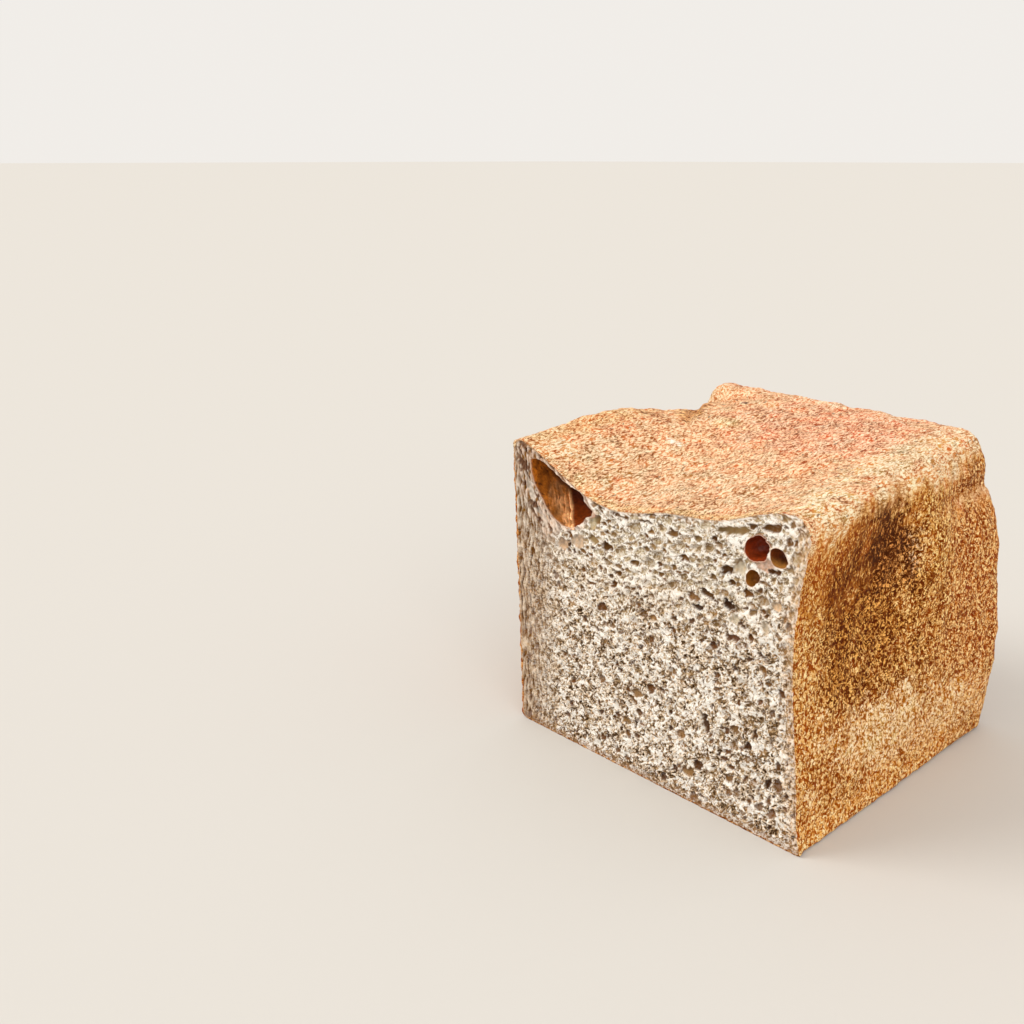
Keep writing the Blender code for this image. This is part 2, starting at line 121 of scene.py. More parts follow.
def ease(start, end, t):
    """A smooth rise from 0 at start to 1 at end."""
    s = np.clip((t - start) / (end - start), 0, 1)
    return s * s * (3 - 2 * s)


def fall(start, end, t):
    """A smooth fall from 1 at start to 0 at end."""
    return 1 - ease(start, end, t)


def bump(t, centre, reach, height=1):
    """A soft bell of that height."""
    return height * np.exp(-(((t - centre) / reach) ** 2))


def turned(x, z, centre_x, centre_z, tilt):
    c, s = math.cos(math.radians(tilt)), math.sin(math.radians(tilt))
    dx, dz = x - centre_x, z - centre_z
    return dx * c + dz * s, -dx * s + dz * c


def oval(x, z, centre_x, centre_z, reach_x, reach_z, tilt):
    """Distance from the middle of a turned oval, 1 at its edge."""
    along, across = turned(x, z, centre_x, centre_z, tilt)
    return np.hypot(along / reach_x, across / reach_z)


def top_height(x, y):
    along = ease(0, DEPTH, y)
    at_cut = TOP_AT_CUT + TOP_SLOPE_AT_CUT * x
    at_end = TOP_AT_END + TOP_SLOPE_AT_END * x
    sag = bump(x, *SAG) + bump(x, *SHOULDER_SAG)
    back = -0.25 * SAG_RUNS_BACK, SAG_RUNS_BACK
    fallen = fall(*back, y) / fall(*back, 0)
    on_left = fall(*DENT_INNER_EDGE, x)
    dent = DENT_DEPTH * (ease(*DENT_DEEPENS, y) * fall(*STEP_UP, y)) * on_left
    return at_cut * (1 - along) + at_end * along - sag * fallen + bump(y, *LEFT_RIM_SWELL) * on_left - dent


def right_wall(z, y):
    at_cut = RIGHT_AT_CUT + FOOT_FLARE * np.exp(-z / FOOT_FLARE_HEIGHT) - bump(z, *RIGHT_CAVE)
    lean = END_LEAN_IN / (1 + np.exp(-(z - END_LEAN_Z) / END_LEAN_SPREAD))
    at_end = RIGHT_AT_END + bump(z, *END_BELLY) - lean - bump(z, *END_GROOVE)
    along = ease(0.15 * DEPTH, DEPTH, y)
    press = bump(y, *PRESS_Y) * bump(z, *PRESS_Z)
    ridge = bump(y, *RIDGE_Y) * bump(z, *RIDGE_Z)
    return at_cut * (1 - along) + at_end * along - press + ridge


def left_wall(z, y):
    foot = -0.5 * BASE_WIDTH + SIDE_RUNS_IN * ease(0, DEPTH, y)
    cave = bump(y, 0.55 * DEPTH, 0.3 * DEPTH, LEFT_MIDDLE_CAVE) * bump(z, 0.5 * TOP_AT_END, 0.3 * TOP_AT_END)
    return foot - LEAN_LEFT * z / TOP_AT_CUT + cave


def place(u, v, y):
    """Puts a point of the unit square into the cross-section at y."""
    first_x = (u - 0.5) * BASE_WIDTH
    z = v * top_height(first_x, y)
    return left_wall(z, y) * (1 - u) + right_wall(z, y) * u, z


def inset(u, v, distance, base_distance):
    du = distance / BASE_WIDTH
    dv = distance / TOP_AT_END
    base_dv = base_distance / TOP_AT_END
    return du + u * (1 - 2 * du), base_dv + v * (1 - dv - base_dv)


def wave(x, y, z):
    k = 2 * math.pi / WAVE_LENGTH
    swell = np.sin(k * (x + 0.4 * y) + 1.3) * np.sin(k * (0.8 * y - 0.5 * z) + 0.4)
    ripple = np.sin(1.9 * k * (0.7 * x - 0.6 * z) + 2.1) * np.sin(1.7 * k * (y + 0.3 * x))
    return WAVE_HEIGHT * (swell + 0.6 * ripple)


def end_cave(x, z):
    return bump(x, SAG[0], END_CAVE_REACH, END_CAVE) * bump(z, 0.5 * TOP_AT_END, END_CAVE_REACH)


# Noise
SIGNS = (-1, 1)
DIRECTIONS = [(a, b, 0) for a in SIGNS for b in SIGNS] + [(a, 0, b) for a in SIGNS for b in SIGNS]
DIRECTIONS = np.array(DIRECTIONS + [(0, a, b) for a in SIGNS for b in SIGNS] + DIRECTIONS[2:6])


def scramble(ix, iy, iz, seed):
    """A number for each lattice point."""
    h = (ix * 0x8DA6B343) ^ (iy * 0xD8163841) ^ (iz * 0xCB1AB31F) ^ (seed * 0x9E3779B1)
    h = (h & 0xFFFFFFFF).astype(np.uint32)
    for shift, factor in ((15, 0x2C1B3C6D), (12, 0x297A2D39), (15, 1)):
        h = (h ^ (h >> np.uint32(shift))) * np.uint32(factor)
    return h


def noise(points, size, seed):
    """Smooth noise between about -1 and 1 with lumps of that size in mm. size may be one number or three."""
    p = points / np.asarray(size, float)
    cell = np.floor(p)
    f = p - cell
    cell = cell.astype(np.int64)
    blend = f * f * f * (f * (f * 6 - 15) + 10)
    total = np.zeros(p.shape[:-1])
    for corner in range(8):
        step = (corner & 1, corner >> 1 & 1, corner >> 2)
        way = DIRECTIONS[scramble(*(cell[..., i] + step[i] for i in range(3)), seed) & 15]
        share = np.ones_like(total)
        reach = np.zeros_like(total)
        for i in range(3):
            share *= blend[..., i] if step[i] else 1 - blend[..., i]
            reach += way[..., i] * (f[..., i] - step[i])
        total += share * reach
    return total * 1.4


def on_cut(x, z):
    """Points on the cut for the noise."""
    return np.stack([x, np.zeros_like(x), z], axis=-1)


def linear(colour):
    """sRGB from 0 to 255 as linear light."""
    c = np.asarray(colour, float) / 255
    return np.where(c <= 0.04045, c / 12.92, ((c + 0.055) / 1.055) ** 2.4)


def mix(a, b, share):
    return a + (b - a) * share[..., None]


def paint(colour, tone, share):
    """Mixes in an sRGB tone."""
    return mix(colour, linear(tone), share)


def stain(colour, factors, share):
    return mix(colour, colour * np.array(factors), share)


# The outline of the cut as a path
CORNERS = (
    (1, 0, BASE_RADIUS), (1, 1, TOP_RIGHT_RADIUS), (0, 1, TOP_LEFT_RADIUS), (0, 0, BASE_RADIUS),
)
SIDE_LENGTHS = (
    TOP_AT_CUT - BASE_RADIUS - TOP_RIGHT_RADIUS, BASE_WIDTH - TOP_RIGHT_RADIUS - TOP_LEFT_RADIUS,
    TOP_AT_CUT - TOP_LEFT_RADIUS - BASE_RADIUS, BASE_WIDTH - 2 * BASE_RADIUS,
)
ARC_LENGTHS = tuple(0.5 * math.pi * radius for _, _, radius in CORNERS)
ROUND = sum(SIDE_LENGTHS) + sum(ARC_LENGTHS)
RIGHT_STARTS = 0.5 * ARC_LENGTHS[0]
TOP_STARTS = ARC_LENGTHS[0] + SIDE_LENGTHS[0]
LEFT_STARTS = TOP_STARTS + ARC_LENGTHS[1] + SIDE_LENGTHS[1] + 0.5 * ARC_LENGTHS[2]
BASE_STARTS = ROUND - SIDE_LENGTHS[3] - 0.5 * ARC_LENGTHS[3]


def outline(s, drawn_in=0):
    """The rounded rectangle of the cut before it is bent, s mm round from the foot's right corner."""
    s = np.mod(s, ROUND)
    x, z = np.zeros_like(s), np.zeros_like(s)
    start = 0
    for index, (right, upper, radius) in enumerate(CORNERS):
        centre_x = (0.5 * BASE_WIDTH - radius) * (1 if right else -1)
        centre_z = TOP_AT_CUT - radius if upper else radius
        turn = np.clip((s - start) / radius, 0, 0.5 * math.pi) + math.radians(90 * index - 90)
        past = np.clip(s - start - ARC_LENGTHS[index], 0, None)
        here = s >= start
        out = radius - drawn_in
        x = np.where(here, centre_x + out * np.cos(turn) - np.sin(turn) * past, x)
        z = np.where(here, centre_z + out * np.sin(turn) + np.cos(turn) * past, z)
        start += ARC_LENGTHS[index] + SIDE_LENGTHS[index]
    return x, z


def surface(s, t, drawn_in=0):
    """Point of the crust, s mm round the outline and t mm back along it from the cut."""
    x, z = outline(s, drawn_in)
    turn = np.clip((t - STRAIGHT) / END_RADIUS, 0, None)
    y = np.where(t < STRAIGHT, t, STRAIGHT + END_RADIUS * np.sin(turn))
    shrink = 1 - np.cos(turn)
    u, v = inset(x / BASE_WIDTH + 0.5, z / TOP_AT_CUT, END_RADIUS * shrink, END_BASE_RADIUS * shrink)
    x, z = place(u, v, y)
    out_u, out_v = u - 0.5, v - 0.5
    length = np.hypot(out_u, out_v) + 1e-9
    lift = wave(x, y, z) * ease(0, 12, z) * ease(2, 14, y)
    return np.stack([x + lift * out_u / length, y, z + lift * np.maximum(out_v, 0) / length], axis=-1)


def surface_normal(s, t):
    step = 0.05
    along = surface(s, t + step) - surface(s, t - step)
    across = surface(s + step, t) - surface(s - step, t)
    normal = np.cross(across, along)
    normal /= np.linalg.norm(normal, axis=-1, keepdims=True) + 1e-12
    return -normal


# Meshes
def quads_of(rows, columns, keep=None):
    index = np.arange(rows * columns).reshape(rows, columns)
    quads = np.stack([index[:-1, :-1], index[:-1, 1:], index[1:, 1:], index[1:, :-1]], axis=-1)
    if keep is not None:
        quads = quads[keep]
    return quads.reshape(-1, 4)


def make_piece(name, points, uv, attributes, material, keep=None, flip=False):
    """A smooth mesh over a grid of points in mm, which rides on the loaf."""
    quads = quads_of(*points.shape[:2], keep)
    points, uv = points.reshape(-1, 3), uv.reshape(-1, 2)
    used = np.unique(quads)
    renumber = np.zeros(len(points), np.int64)
    renumber[used] = np.arange(len(used))
    quads = renumber[quads]
    if flip:
        quads = quads[:, ::-1]
    points, uv = points[used], uv[used]
    mesh = bpy.data.meshes.new(name)
    mesh.vertices.add(len(points))
    mesh.vertices.foreach_set("co", ((points + FRAME_SHIFT) * 0.001).astype(np.float32).ravel())
    mesh.loops.add(quads.size)
    mesh.loops.foreach_set("vertex_index", quads.astype(np.int32).ravel())
    mesh.polygons.add(len(quads))
    mesh.polygons.foreach_set("loop_start", np.arange(0, quads.size, 4, dtype=np.int32))
    mesh.polygons.foreach_set("use_smooth", np.ones(len(quads), bool))
    mesh.update(calc_edges=True)
    layer = mesh.uv_layers.new(name="OFBake")
    layer.data.foreach_set("uv", uv[quads.ravel()].astype(np.float32).ravel())
    for key, values in attributes.items():
        values = values.reshape(len(renumber), -1)[used]
        kind, field = "FLOAT", "value"
        if values.shape[1] == 3:
            kind, field = "FLOAT_COLOR", "color"
            values = np.concatenate([values, np.ones((len(values), 1))], axis=1)
        mesh.attributes.new(key, kind, "POINT").data.foreach_set(field, values.astype(np.float32).ravel())
    mesh.materials.append(material)
    piece = add_object(name, mesh)
    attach(piece, "root")
    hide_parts("half_loaf")


def fitted(a, b):
    """A flat UV map with a small margin."""
    low = np.array((a.min(), b.min()))
    span = max(np.ptp(a), np.ptp(b)) * 1.02
    return np.stack([(a - low[0]) / span + 0.01, (b - low[1]) / span + 0.01], axis=-1)


# Colours of the crust: for each face, its own tone, then patches of other tones on it; a few of these patches are
# painted shade or a painted highlight.
# A patch is its middle, its reach, its turn in degrees, its colour and its strength.
TONES = {
    "top": ((244, 192, 143), (
        (6, 86, 36, 34, 10, (241, 176, 136), 0.85), (-10, 22, 50, 20, 0, (240, 198, 154), 0.6),
        # Painted shade: the first patch on the next line darkens the crease below the step of the dent.
        (-54, 84, 22, 6, 124, (202, 128, 62), 0.9), (-62, 60, 14, 34, 0, (246, 186, 132), 0.7),
        # Painted highlight: the second patch on the next line is a pale yellow spot of light on the top.
        (41, 62, 9, 52, 0, (247, 214, 168), 0.85), (-28, 71, 6, 4, 40, (246, 214, 150), 0.5),
        (-20, 114, 60, 9, 0, (250, 198, 154), 0.8), (-58, 30, 6, 44, 0, (240, 184, 122), 0.7),
        (10, 2, 60, 3, 0, (238, 188, 122), 0.6), (-44, 10, 14, 10, 0, (242, 208, 160), 0.5),
        (47, 13, 8, 15, 0, (250, 222, 176), 0.8),
        (-33, 47, 3.6, 1.3, 10, (255, 246, 230), 0.8), (-36, 91.5, 1.8, 1, 20, (70, 40, 30), 0.95),
    )),
    "right": ((208, 136, 54), (
        # The dark patches at y 40 and y 49 are toasted crust with painted shade of the side's sunken middle in them.
        (98, 60, 20, 50, 0, (206, 124, 50), 0.8), (40, 64, 31, 34, -14, (138, 68, 8), 0.95),
        (49, 82, 14, 18, 10, (86, 36, 2), 0.85), (70, 95, 16, 8, 0, (208, 140, 50), 0.8),
        (73, 80, 7, 16, 0, (200, 132, 46), 0.7), (16, 92, 12, 8, 0, (212, 138, 54), 0.7),
        (4, 50, 9, 60, 0, (224, 156, 68), 0.85), (54, 21, 44, 13, -6, (246, 198, 128), 0.95),
        (50, 25, 26, 9, -4, (252, 214, 154), 0.7), (100, 16, 20, 12, 0, (250, 196, 116), 0.8),
        (50, 4, 70, 6, 0, (244, 178, 84), 0.8), (104, 94, 10, 9, 0, (166, 100, 44), 0.6),
    )),
    "left": ((202, 128, 60), (
        (60, 60, 38, 28, 10, (166, 98, 38), 0.9), (70, 18, 36, 10, 5, (216, 168, 110), 0.8),
        (16, 30, 10, 22, 0, (196, 134, 72), 0.7), (104, 60, 10, 40, 0, (190, 126, 66), 0.7),
    )),
    "end": ((202, 126, 58), (
        (-4, 62, 34, 26, 0, (164, 96, 36), 0.9), (-20, 18, 26, 9, 6, (214, 166, 108), 0.8),
        (34, 34, 14, 18, 0, (192, 130, 68), 0.7),
    )),
    "base": ((158, 98, 46), (
        (0, 60, 40, 40, 0, (130, 76, 34), 0.8), (-30, 20, 16, 12, 20, (196, 144, 88), 0.6),
    )),
}
TOP_BROWNED, TOP_PALE, EDGE_PALE = np.array(((226, 150, 104), (250, 220, 182), (244, 206, 154)))
EDGE_GOLDEN, SIDE_PALE_STREAK = np.array(((212, 140, 56), (206, 184, 148)))
# Powers that take a tone to its dark pits and to its light flecks
SIDE_DARKER = (2.5, 2.3, 3.4)
TOP_DARKER = (6, 3.2, 3)
SIDE_LIGHTER = (4.2, 3, 3.9)
TOP_LIGHTER = (1.9, 1.7, 1.7)
SIDE_FLECK = np.array((255, 216, 160)) / 255
SIDE_PIT = np.array((108, 48, 0)) / 255


def face_tone(name, a, b, wander):
    """The tone of one face at a and b, its own two coordinates in mm."""
    own, patches = TONES[name]
    colour = np.broadcast_to(np.array(own, float), (*a.shape, 3))
    for *spot, tone, strength in patches:
        q = oval(a, b, *spot)
        colour = mix(colour, np.array(tone, float), strength * fall(0.45, 1.3, q + 0.55 * wander))
    return colour


def crust_look(p, normal):
    """Light and dark tone of the crust and how far it is top crust."""
    x, y, z = p[..., 0], p[..., 1], p[..., 2]
    wander = noise(p, 9, 21) + 0.7 * noise(p, 3.6, 22) + 0.45 * noise(p, 1.7, 23)
    below_top = top_height(x, y) - z
    rim = np.interp(y, (0, 4, 34, 64, 80, 119), (12, 11, 4.5, 6.5, 9, 8))
    streak = noise(p, (1.6, 2.2, 7), 24)
    on_top = fall(0, 1, (below_top - rim + 4) / 8 + 0.35 * wander + 0.35 * streak)
    up = ease(0.3, 0.85, normal[..., 2])
    on_top = np.maximum(np.where(below_top < 24, on_top, 0), up)
    weights = {
        "base": ease(0.2, 0.75, -normal[..., 2]), "right": ease(0.05, 0.7, normal[..., 0]),
        "left": ease(0.05, 0.7, -normal[..., 0]), "end": ease(0.05, 0.7, normal[..., 1]),
    }
    places = {"base": (x, y), "right": (y, z), "left": (y, z), "end": (x, z)}
    total = sum(weights.values()) + 1e-6
    side = sum(face_tone(k, *places[k], wander) * (weights[k] / total)[..., None] for k in weights)
    side = np.where((total < 1e-4)[..., None], np.array(TONES["right"][0], float), side)
    top = face_tone("top", x, y, 0.6 * wander)
    mottle = noise(p, (2.4, 4.4, 2.4), 27) + 0.6 * noise(p, 9, 28)
    top = mix(top, TOP_BROWNED, np.clip(0.6 * mottle, 0, 0.5))
    top = mix(top, TOP_PALE, np.clip(-0.4 * mottle, 0, 0.35))
    pale = fall(0, 9, np.abs(below_top - 3)) * (1 - up)
    top = mix(top, EDGE_PALE, 0.7 * pale)
    golden = 2.4 * on_top * (1 - on_top) * (1 - up)
    # A pale narrow streak on the right side of the crust.
    whitish = bump(y, 61, 3.4) * bump(z, 79, 8) * ease(40, 50, x) * ease(0.05, 0.4, noise(p, 1.5, 26))
    side = mix(mix(side, EDGE_GOLDEN, golden), SIDE_PALE_STREAK, 0.65 * whitish)
    unevenness = (1 + 0.05 * noise(p, 6, 25))[..., None] / 255
    side, top = np.clip(side * unevenness, 0, 0.97), np.clip(top * unevenness, 0, 0.97)
    unseen = 0.3 * (1 - weights["right"] / total)
    side_light = mix(0.5 * (1 - (1 - side) ** np.array(SIDE_LIGHTER) + SIDE_FLECK), side, unseen)
    side_dark = mix(0.5 * (side ** np.array(SIDE_DARKER) + SIDE_PIT), side, unseen)
    top_light = 1 - (1 - top) ** np.array(TOP_LIGHTER)
    combed = ease(0.2, 0.7, bump(y, 14, 44) * bump(z, 97, 30) + 0.15 * wander)
    tones = {
        "dark": mix(side_dark, top ** np.array(TOP_DARKER), on_top),
        "tone": mix(side, top, on_top), "light": mix(side_light, top_light, on_top),
    }
    looks = {key: linear(255 * value) for key, value in tones.items()}
    looks.update(on_top=on_top, combed=combed)
    return looks


def crust_relief(p, on_top):
    """How far the crust stands out, in mm."""
    lumps = 0.26 * noise(p, 6, 31) + 0.17 * noise(p, 2.9, 32)
    curls = 0.5 - np.abs(noise(p, 1.5, 33))
    side = 0.2 * curls + 0.1 * noise(p, 0.9, 34)
    top = 0.15 * noise(p, (1.3, 2.6, 1.3), 35) + 0.09 * noise(p, (0.8, 1.5, 0.8), 36)
    along, across = turned(p[..., 0], p[..., 1], -50, 79, 122)
    crease = (0.9 * bump(across, -3.2, 2.6) - 1.6 * bump(across, 0, 1.8)) * fall(16, 27, np.abs(along))
    lumps = lumps + crease * on_top * ease(90, 94, p[..., 2])
    rough = bump(p[..., 1], 104, 18) * bump(p[..., 2], 92, 16) * ease(20, 45, p[..., 0])
    return lumps + side * (1 - on_top) + top * on_top + rough * 0.5 * noise(p, 3.4, 37)


# Crust
ROW_STEP = 0.43
RIM_ROWS = (0, 0.22, 0.5, 0.85)
ROWS_START = 1.25
TURN_ROWS = 27
# Rows under the rim of the cut: how far in and how far back, and where they lie on the UV map
LIP = ((1.2, 1.9), (0.45, 0.16))
LIP_ON_MAP = (-2, -0.6)
STRIPS = (
    ("crust_right", RIGHT_STARTS, TOP_STARTS, 0.43), ("crust_top", TOP_STARTS, LEFT_STARTS, 0.43),
    ("crust_left", LEFT_STARTS, BASE_STARTS, 0.7), ("crust_base", BASE_STARTS, ROUND + RIGHT_STARTS, 1.2),
)


def crust_strip(name, starts, ends, column_step, material):
    """One side of the crust from under the rim of the cut to the end face."""
    length = ends - starts
    columns = int(round(length / column_step)) + 1
    s = starts + np.linspace(0, length, columns)
    middle = np.linspace(ROWS_START, STRAIGHT, int((STRAIGHT - ROWS_START) / ROW_STEP))
    back = STRAIGHT + np.linspace(0, 0.5 * math.pi * END_RADIUS, TURN_ROWS)[1:]
    t = np.concatenate([RIM_ROWS, middle, back])
    grid_t, grid_s = np.meshgrid(t, s, indexing="ij")
    base = surface(grid_s, grid_t)
    normal = surface_normal(grid_s, grid_t)
    looks = crust_look(base, normal)
    relief = crust_relief(base, looks["on_top"])
    foot = fall(0.3, 0.9, -normal[..., 2])
    relief = relief * (0.15 + 0.85 * foot)
    edge = fall(0, 2.5, grid_t)
    torn = 0.5 * noise(base, (2.6, 40, 2.6), 41) + 0.26 * noise(base, (0.9, 40, 0.9), 42)
    relief = relief * (1 - 0.5 * edge) + edge * (0.12 + torn) * foot
    points = base + normal * relief[..., None]
    back_and_forth = 0.22 * noise(base, (1.8, 40, 1.8), 43) + 0.1 * noise(base, (0.7, 40, 0.7), 44)
    points[..., 1] += (back_and_forth - 0.06) * fall(0, 1.2, grid_t)
    points[..., 2] = np.maximum(points[..., 2], 0)
    lips = []
    for inwards, y in LIP:
        row = surface(s[None, :], np.zeros((1, columns)), inwards)
        row[..., 1] = y
        lips.append(row)
    points = np.concatenate([*lips, points])
    map_t, map_s = np.meshgrid(np.concatenate([LIP_ON_MAP, t]), s - starts, indexing="ij")
    attributes = {key: np.concatenate([values[:1]] * len(LIP) + [values]) for key, values in looks.items()}
    make_piece(name, points, fitted(map_s, map_t), attributes, material, flip=True)


def disc(rows, columns, margin):
    """A grid that fills the rounded outline before it is bent, as u and v."""
    z = np.linspace(margin, TOP_AT_CUT - margin, rows)
    limits = []
    for right, sign in ((1, 1), (0, -1)):
        low, high = BASE_RADIUS - margin, (TOP_RIGHT_RADIUS if right else TOP_LEFT_RADIUS) - margin
        into_low = np.clip(low - (z - margin), 0, low)
        into_high = np.clip(high - (TOP_AT_CUT - margin - z), 0, high)
        cut = low - np.sqrt(low * low - into_low ** 2) + high - np.sqrt(np.maximum(high * high - into_high ** 2, 0))
        limits.append(sign * (0.5 * BASE_WIDTH - margin - cut))
    share = np.linspace(0, 1, columns)[None, :]
    x = limits[1][:, None] * (1 - share) + limits[0][:, None] * share
    return x, np.broadcast_to(z[:, None], x.shape)


def inside_distance(x, z, soft=0):
    """Distance from the outline before it is bent, positive inside."""
    upper = z > 0.5 * TOP_AT_CUT
    radius = np.where(upper, np.where(x > 0, TOP_RIGHT_RADIUS, TOP_LEFT_RADIUS), BASE_RADIUS)
    radius = np.maximum(radius, np.where(upper, soft, 0))
    dx = 0.5 * BASE_WIDTH - np.abs(x)
    dz = np.where(upper, TOP_AT_CUT - z, z)
    corner = (dx < radius) & (dz < radius)
    return np.where(corner, radius - np.hypot(radius - dx, radius - dz), np.minimum(dx, dz))


END_ROWS, END_COLUMNS = 168, 184


def end_face(material):
    x, z = disc(END_ROWS, END_COLUMNS, 0)
    margin = inside_distance(x, z)
    u, v = inset(x / BASE_WIDTH + 0.5, z / TOP_AT_CUT, END_RADIUS - 0.8, END_BASE_RADIUS - 0.6)
    px, pz = place(u, v, DEPTH)
    base = np.stack([px, np.full_like(px, DEPTH), pz], axis=-1)
    normal = np.zeros_like(base)
    normal[..., 1] = 1
    looks = crust_look(base, normal)
    points = base.copy()
    points[..., 1] += crust_relief(base, looks["on_top"]) * ease(-0.5, 1.5, margin)
    points[..., 1] -= end_cave(px, pz) * ease(0.5, 14, margin) + 0.3 * fall(0, 1.2, margin)
    make_piece("crust_end", points, fitted(px, pz), looks, material, flip=True)


# The cut, worked out on a fine grid of x and z
CELL = 0.2
LEFT_EDGE, FOOT_EDGE = -68, -2
WIDE, TALL = 660, 570
FAR = 99


def ragged(angle, seed):
    """Unevenness of a rim round its angle, about -1 to 1."""
    draw = np.random.default_rng(seed)
    total = 0
    for k in (5, 9, 14, 21, 30, 43):
        total = total + np.sin(k * angle + draw.uniform(0, 6.28)) / k ** 0.3
    return total * 0.4


def rim_of(name):
    """The radius of an opening's rim round its middle."""
    (centre_x, centre_z), _, _, roughness, points = OPENINGS[name]
    offset = np.array(points) - (centre_x, centre_z)
    angles, radii = np.arctan2(offset[:, 1], offset[:, 0]), np.hypot(offset[:, 0], offset[:, 1])

    def rim(angle):
        plain = np.interp(angle, angles, radii, period=2 * math.pi)
        jagged = roughness * (0.35 + 0.65 * ease(-0.3, 0.9, np.cos(angle - 0.4)))
        return plain * (1 + jagged * ragged(angle, 50 + list(OPENINGS).index(name)))
    return rim


RIMS = {name: rim_of(name) for name in OPENINGS}


def blur(values, radius):
    """A box blur, run twice."""
    n = max(int(round(radius / CELL)), 1)
    for axis in (0, 1, 0, 1):
        padded = np.concatenate([np.repeat(values.take([0], axis), n + 1, axis), values,
                                 np.repeat(values.take([-1], axis), n, axis)], axis)
        sums = np.cumsum(padded, axis)
        size = values.shape[axis]
        high = sums.take(range(2 * n + 1, 2 * n + 1 + size), axis)
        values = (high - sums.take(range(0, size), axis)) / (2 * n + 1)
    return values


class Cut:
    """Height and colour of the crumb on a grid."""

    def __init__(self):
        x = LEFT_EDGE + CELL * np.arange(WIDE)
        z = FOOT_EDGE + CELL * np.arange(TALL)
        self.x, self.z = np.meshgrid(x, z)
        self.first = np.full(self.x.shape, 9.0)
        self.second = np.full(self.x.shape, 9.0)
        self.cell = np.full(self.x.shape, -1)
        left, right = left_wall(self.z, 0), right_wall(self.z, 0)
        u = (self.x - left) / (right - left)
        self.px = (u - 0.5) * BASE_WIDTH
        self.pz = self.z / top_height(self.px, 0) * TOP_AT_CUT
        self.inside = inside_distance(self.px, self.pz)
        self.points = on_cut(self.x, self.z)
        self.wx = self.x + 0.55 * noise(self.points, 1.9, 81) + 0.24 * noise(self.points, 0.8, 82)
        self.wz = self.z + 0.55 * noise(self.points, 1.9, 83) + 0.24 * noise(self.points, 0.8, 84)

    def window(self, x, z, reach):
        i = int((x - LEFT_EDGE - reach) / CELL), int((x - LEFT_EDGE + reach) / CELL) + 2
        j = int((z - FOOT_EDGE - reach) / CELL), int((z - FOOT_EDGE + reach) / CELL) + 2
        return slice(max(j[0], 0), max(j[1], 0)), slice(max(i[0], 0), max(i[1], 0))

    def stamp(self, number, x, z, half_width, half_height, tilt):
        """Takes one bubble into the nearest and second nearest at each point."""
        here = self.window(x, z, 1.5 * max(half_width, half_height))
        q = oval(self.wx[here], self.wz[here], x, z, half_width, half_height, tilt)
        first, second, cell = self.first[here], self.second[here], self.cell[here]
        nearer = q < first
        second[:] = np.where(nearer, first, np.minimum(second, q))
        cell[:] = np.where(nearer, number, cell)
        first[:] = np.minimum(first, q)


MOST_BUBBLES = 14000
# Smallest and largest radius, share of the gap and tries
BUBBLE_SIZES = ((1.3, 2.3, 1, 1300), (0.85, 1.4, 0.86, 5200), (0.5, 0.85, 0.84, 22000))


def scatter_bubbles():
    """Sizes and places of the crumb's own bubbles, seeded."""
    draw = np.random.default_rng(7)
    rows = [list(pit) for pit in PITS]
    taken = [(p[0], p[1], max(0.6 * p[2] + 0.4 * p[3], 0.8)) for p in PITS]
    for (x, z), _, _, _, _ in list(OPENINGS.values())[1:]:
        taken.append((x, z, 3.4))
    for x, z, half_w, half_h, _, _, _ in SKINS:
        taken.append((x, z, 0.5 * (half_w + half_h)))
    taken.extend(HOLLOW_KEEPS_CLEAR)
    count = len(taken)
    places = np.concatenate([np.array(taken), np.zeros((MOST_BUBBLES, 3))])
    for low, high, gap, tries in BUBBLE_SIZES:
        for _ in range(tries):
            px = draw.uniform(-0.5, 0.5) * (BASE_WIDTH - 1.5)
            pz = draw.uniform(0.006, 0.995) * TOP_AT_CUT
            pick, tilt_pick, spread, deep_pick, dark_pick = draw.random(5)
            edge = inside_distance(px, pz)
            if edge < 0.7:
                continue
            x, z = place(px / BASE_WIDTH + 0.5, pz / TOP_AT_CUT, 0)
            below = top_height(px, 0) - z
            beside = 0.5 * BASE_WIDTH - abs(px)
            near_top = fall(14, 48, below)
            near_wall = fall(4, 15, beside) * ease(4, 12, below)
            corner = float(bump(px, 44, 22) * bump(pz, 22, 26))
            coarse = min(1, near_top * 0.95 + 0.75 * corner + 0.3 * near_wall)
            if low > 1.2 and pick > 0.16 + 0.84 * coarse * (1 - 0.8 * near_wall):
                continue
            if low > 0.8 and pick > 0.5 + 0.5 * coarse:
                continue
            radius = (low + (high - low) * spread ** 1.5) * (0.82 + 0.25 * coarse)
            if edge < 0.8 * radius + 0.4:
                continue
            near = np.hypot(places[:count, 0] - x, places[:count, 1] - z)
            if np.any(near < gap * (places[:count, 2] + radius)):
                continue
            places[count] = (x, z, radius)
            count += 1
            stretch = 1 + 1.1 * near_top * (1 - near_wall) * (0.4 + 0.6 * dark_pick)
            slope = (top_height(px + 1, 0) - top_height(px - 1, 0)) / 2
            tilt = math.degrees(math.atan(slope)) * near_top + (tilt_pick - 0.5) * (110 - 80 * near_top)
            if near_wall > 0.3 * tilt_pick + 0.1:
                stretch, tilt = 1 / 1.55, (tilt_pick - 0.5) * 22 - 4 * np.sign(px)
            elif corner > 0.35:
                stretch, tilt = 1.45, 52 + (tilt_pick - 0.5) * 60
            stretch = math.sqrt(stretch)
            depth = radius * (0.3 + 0.85 * deep_pick) * (0.75 + 0.3 * coarse)
            darkness = 0.06 + 0.95 * dark_pick ** 2.4 * (0.5 + 0.5 * deep_pick)
            rows.append([x, z, radius * 1.12 * stretch, radius * 1.12 / stretch, depth, tilt, darkness])
    return np.array(rows)


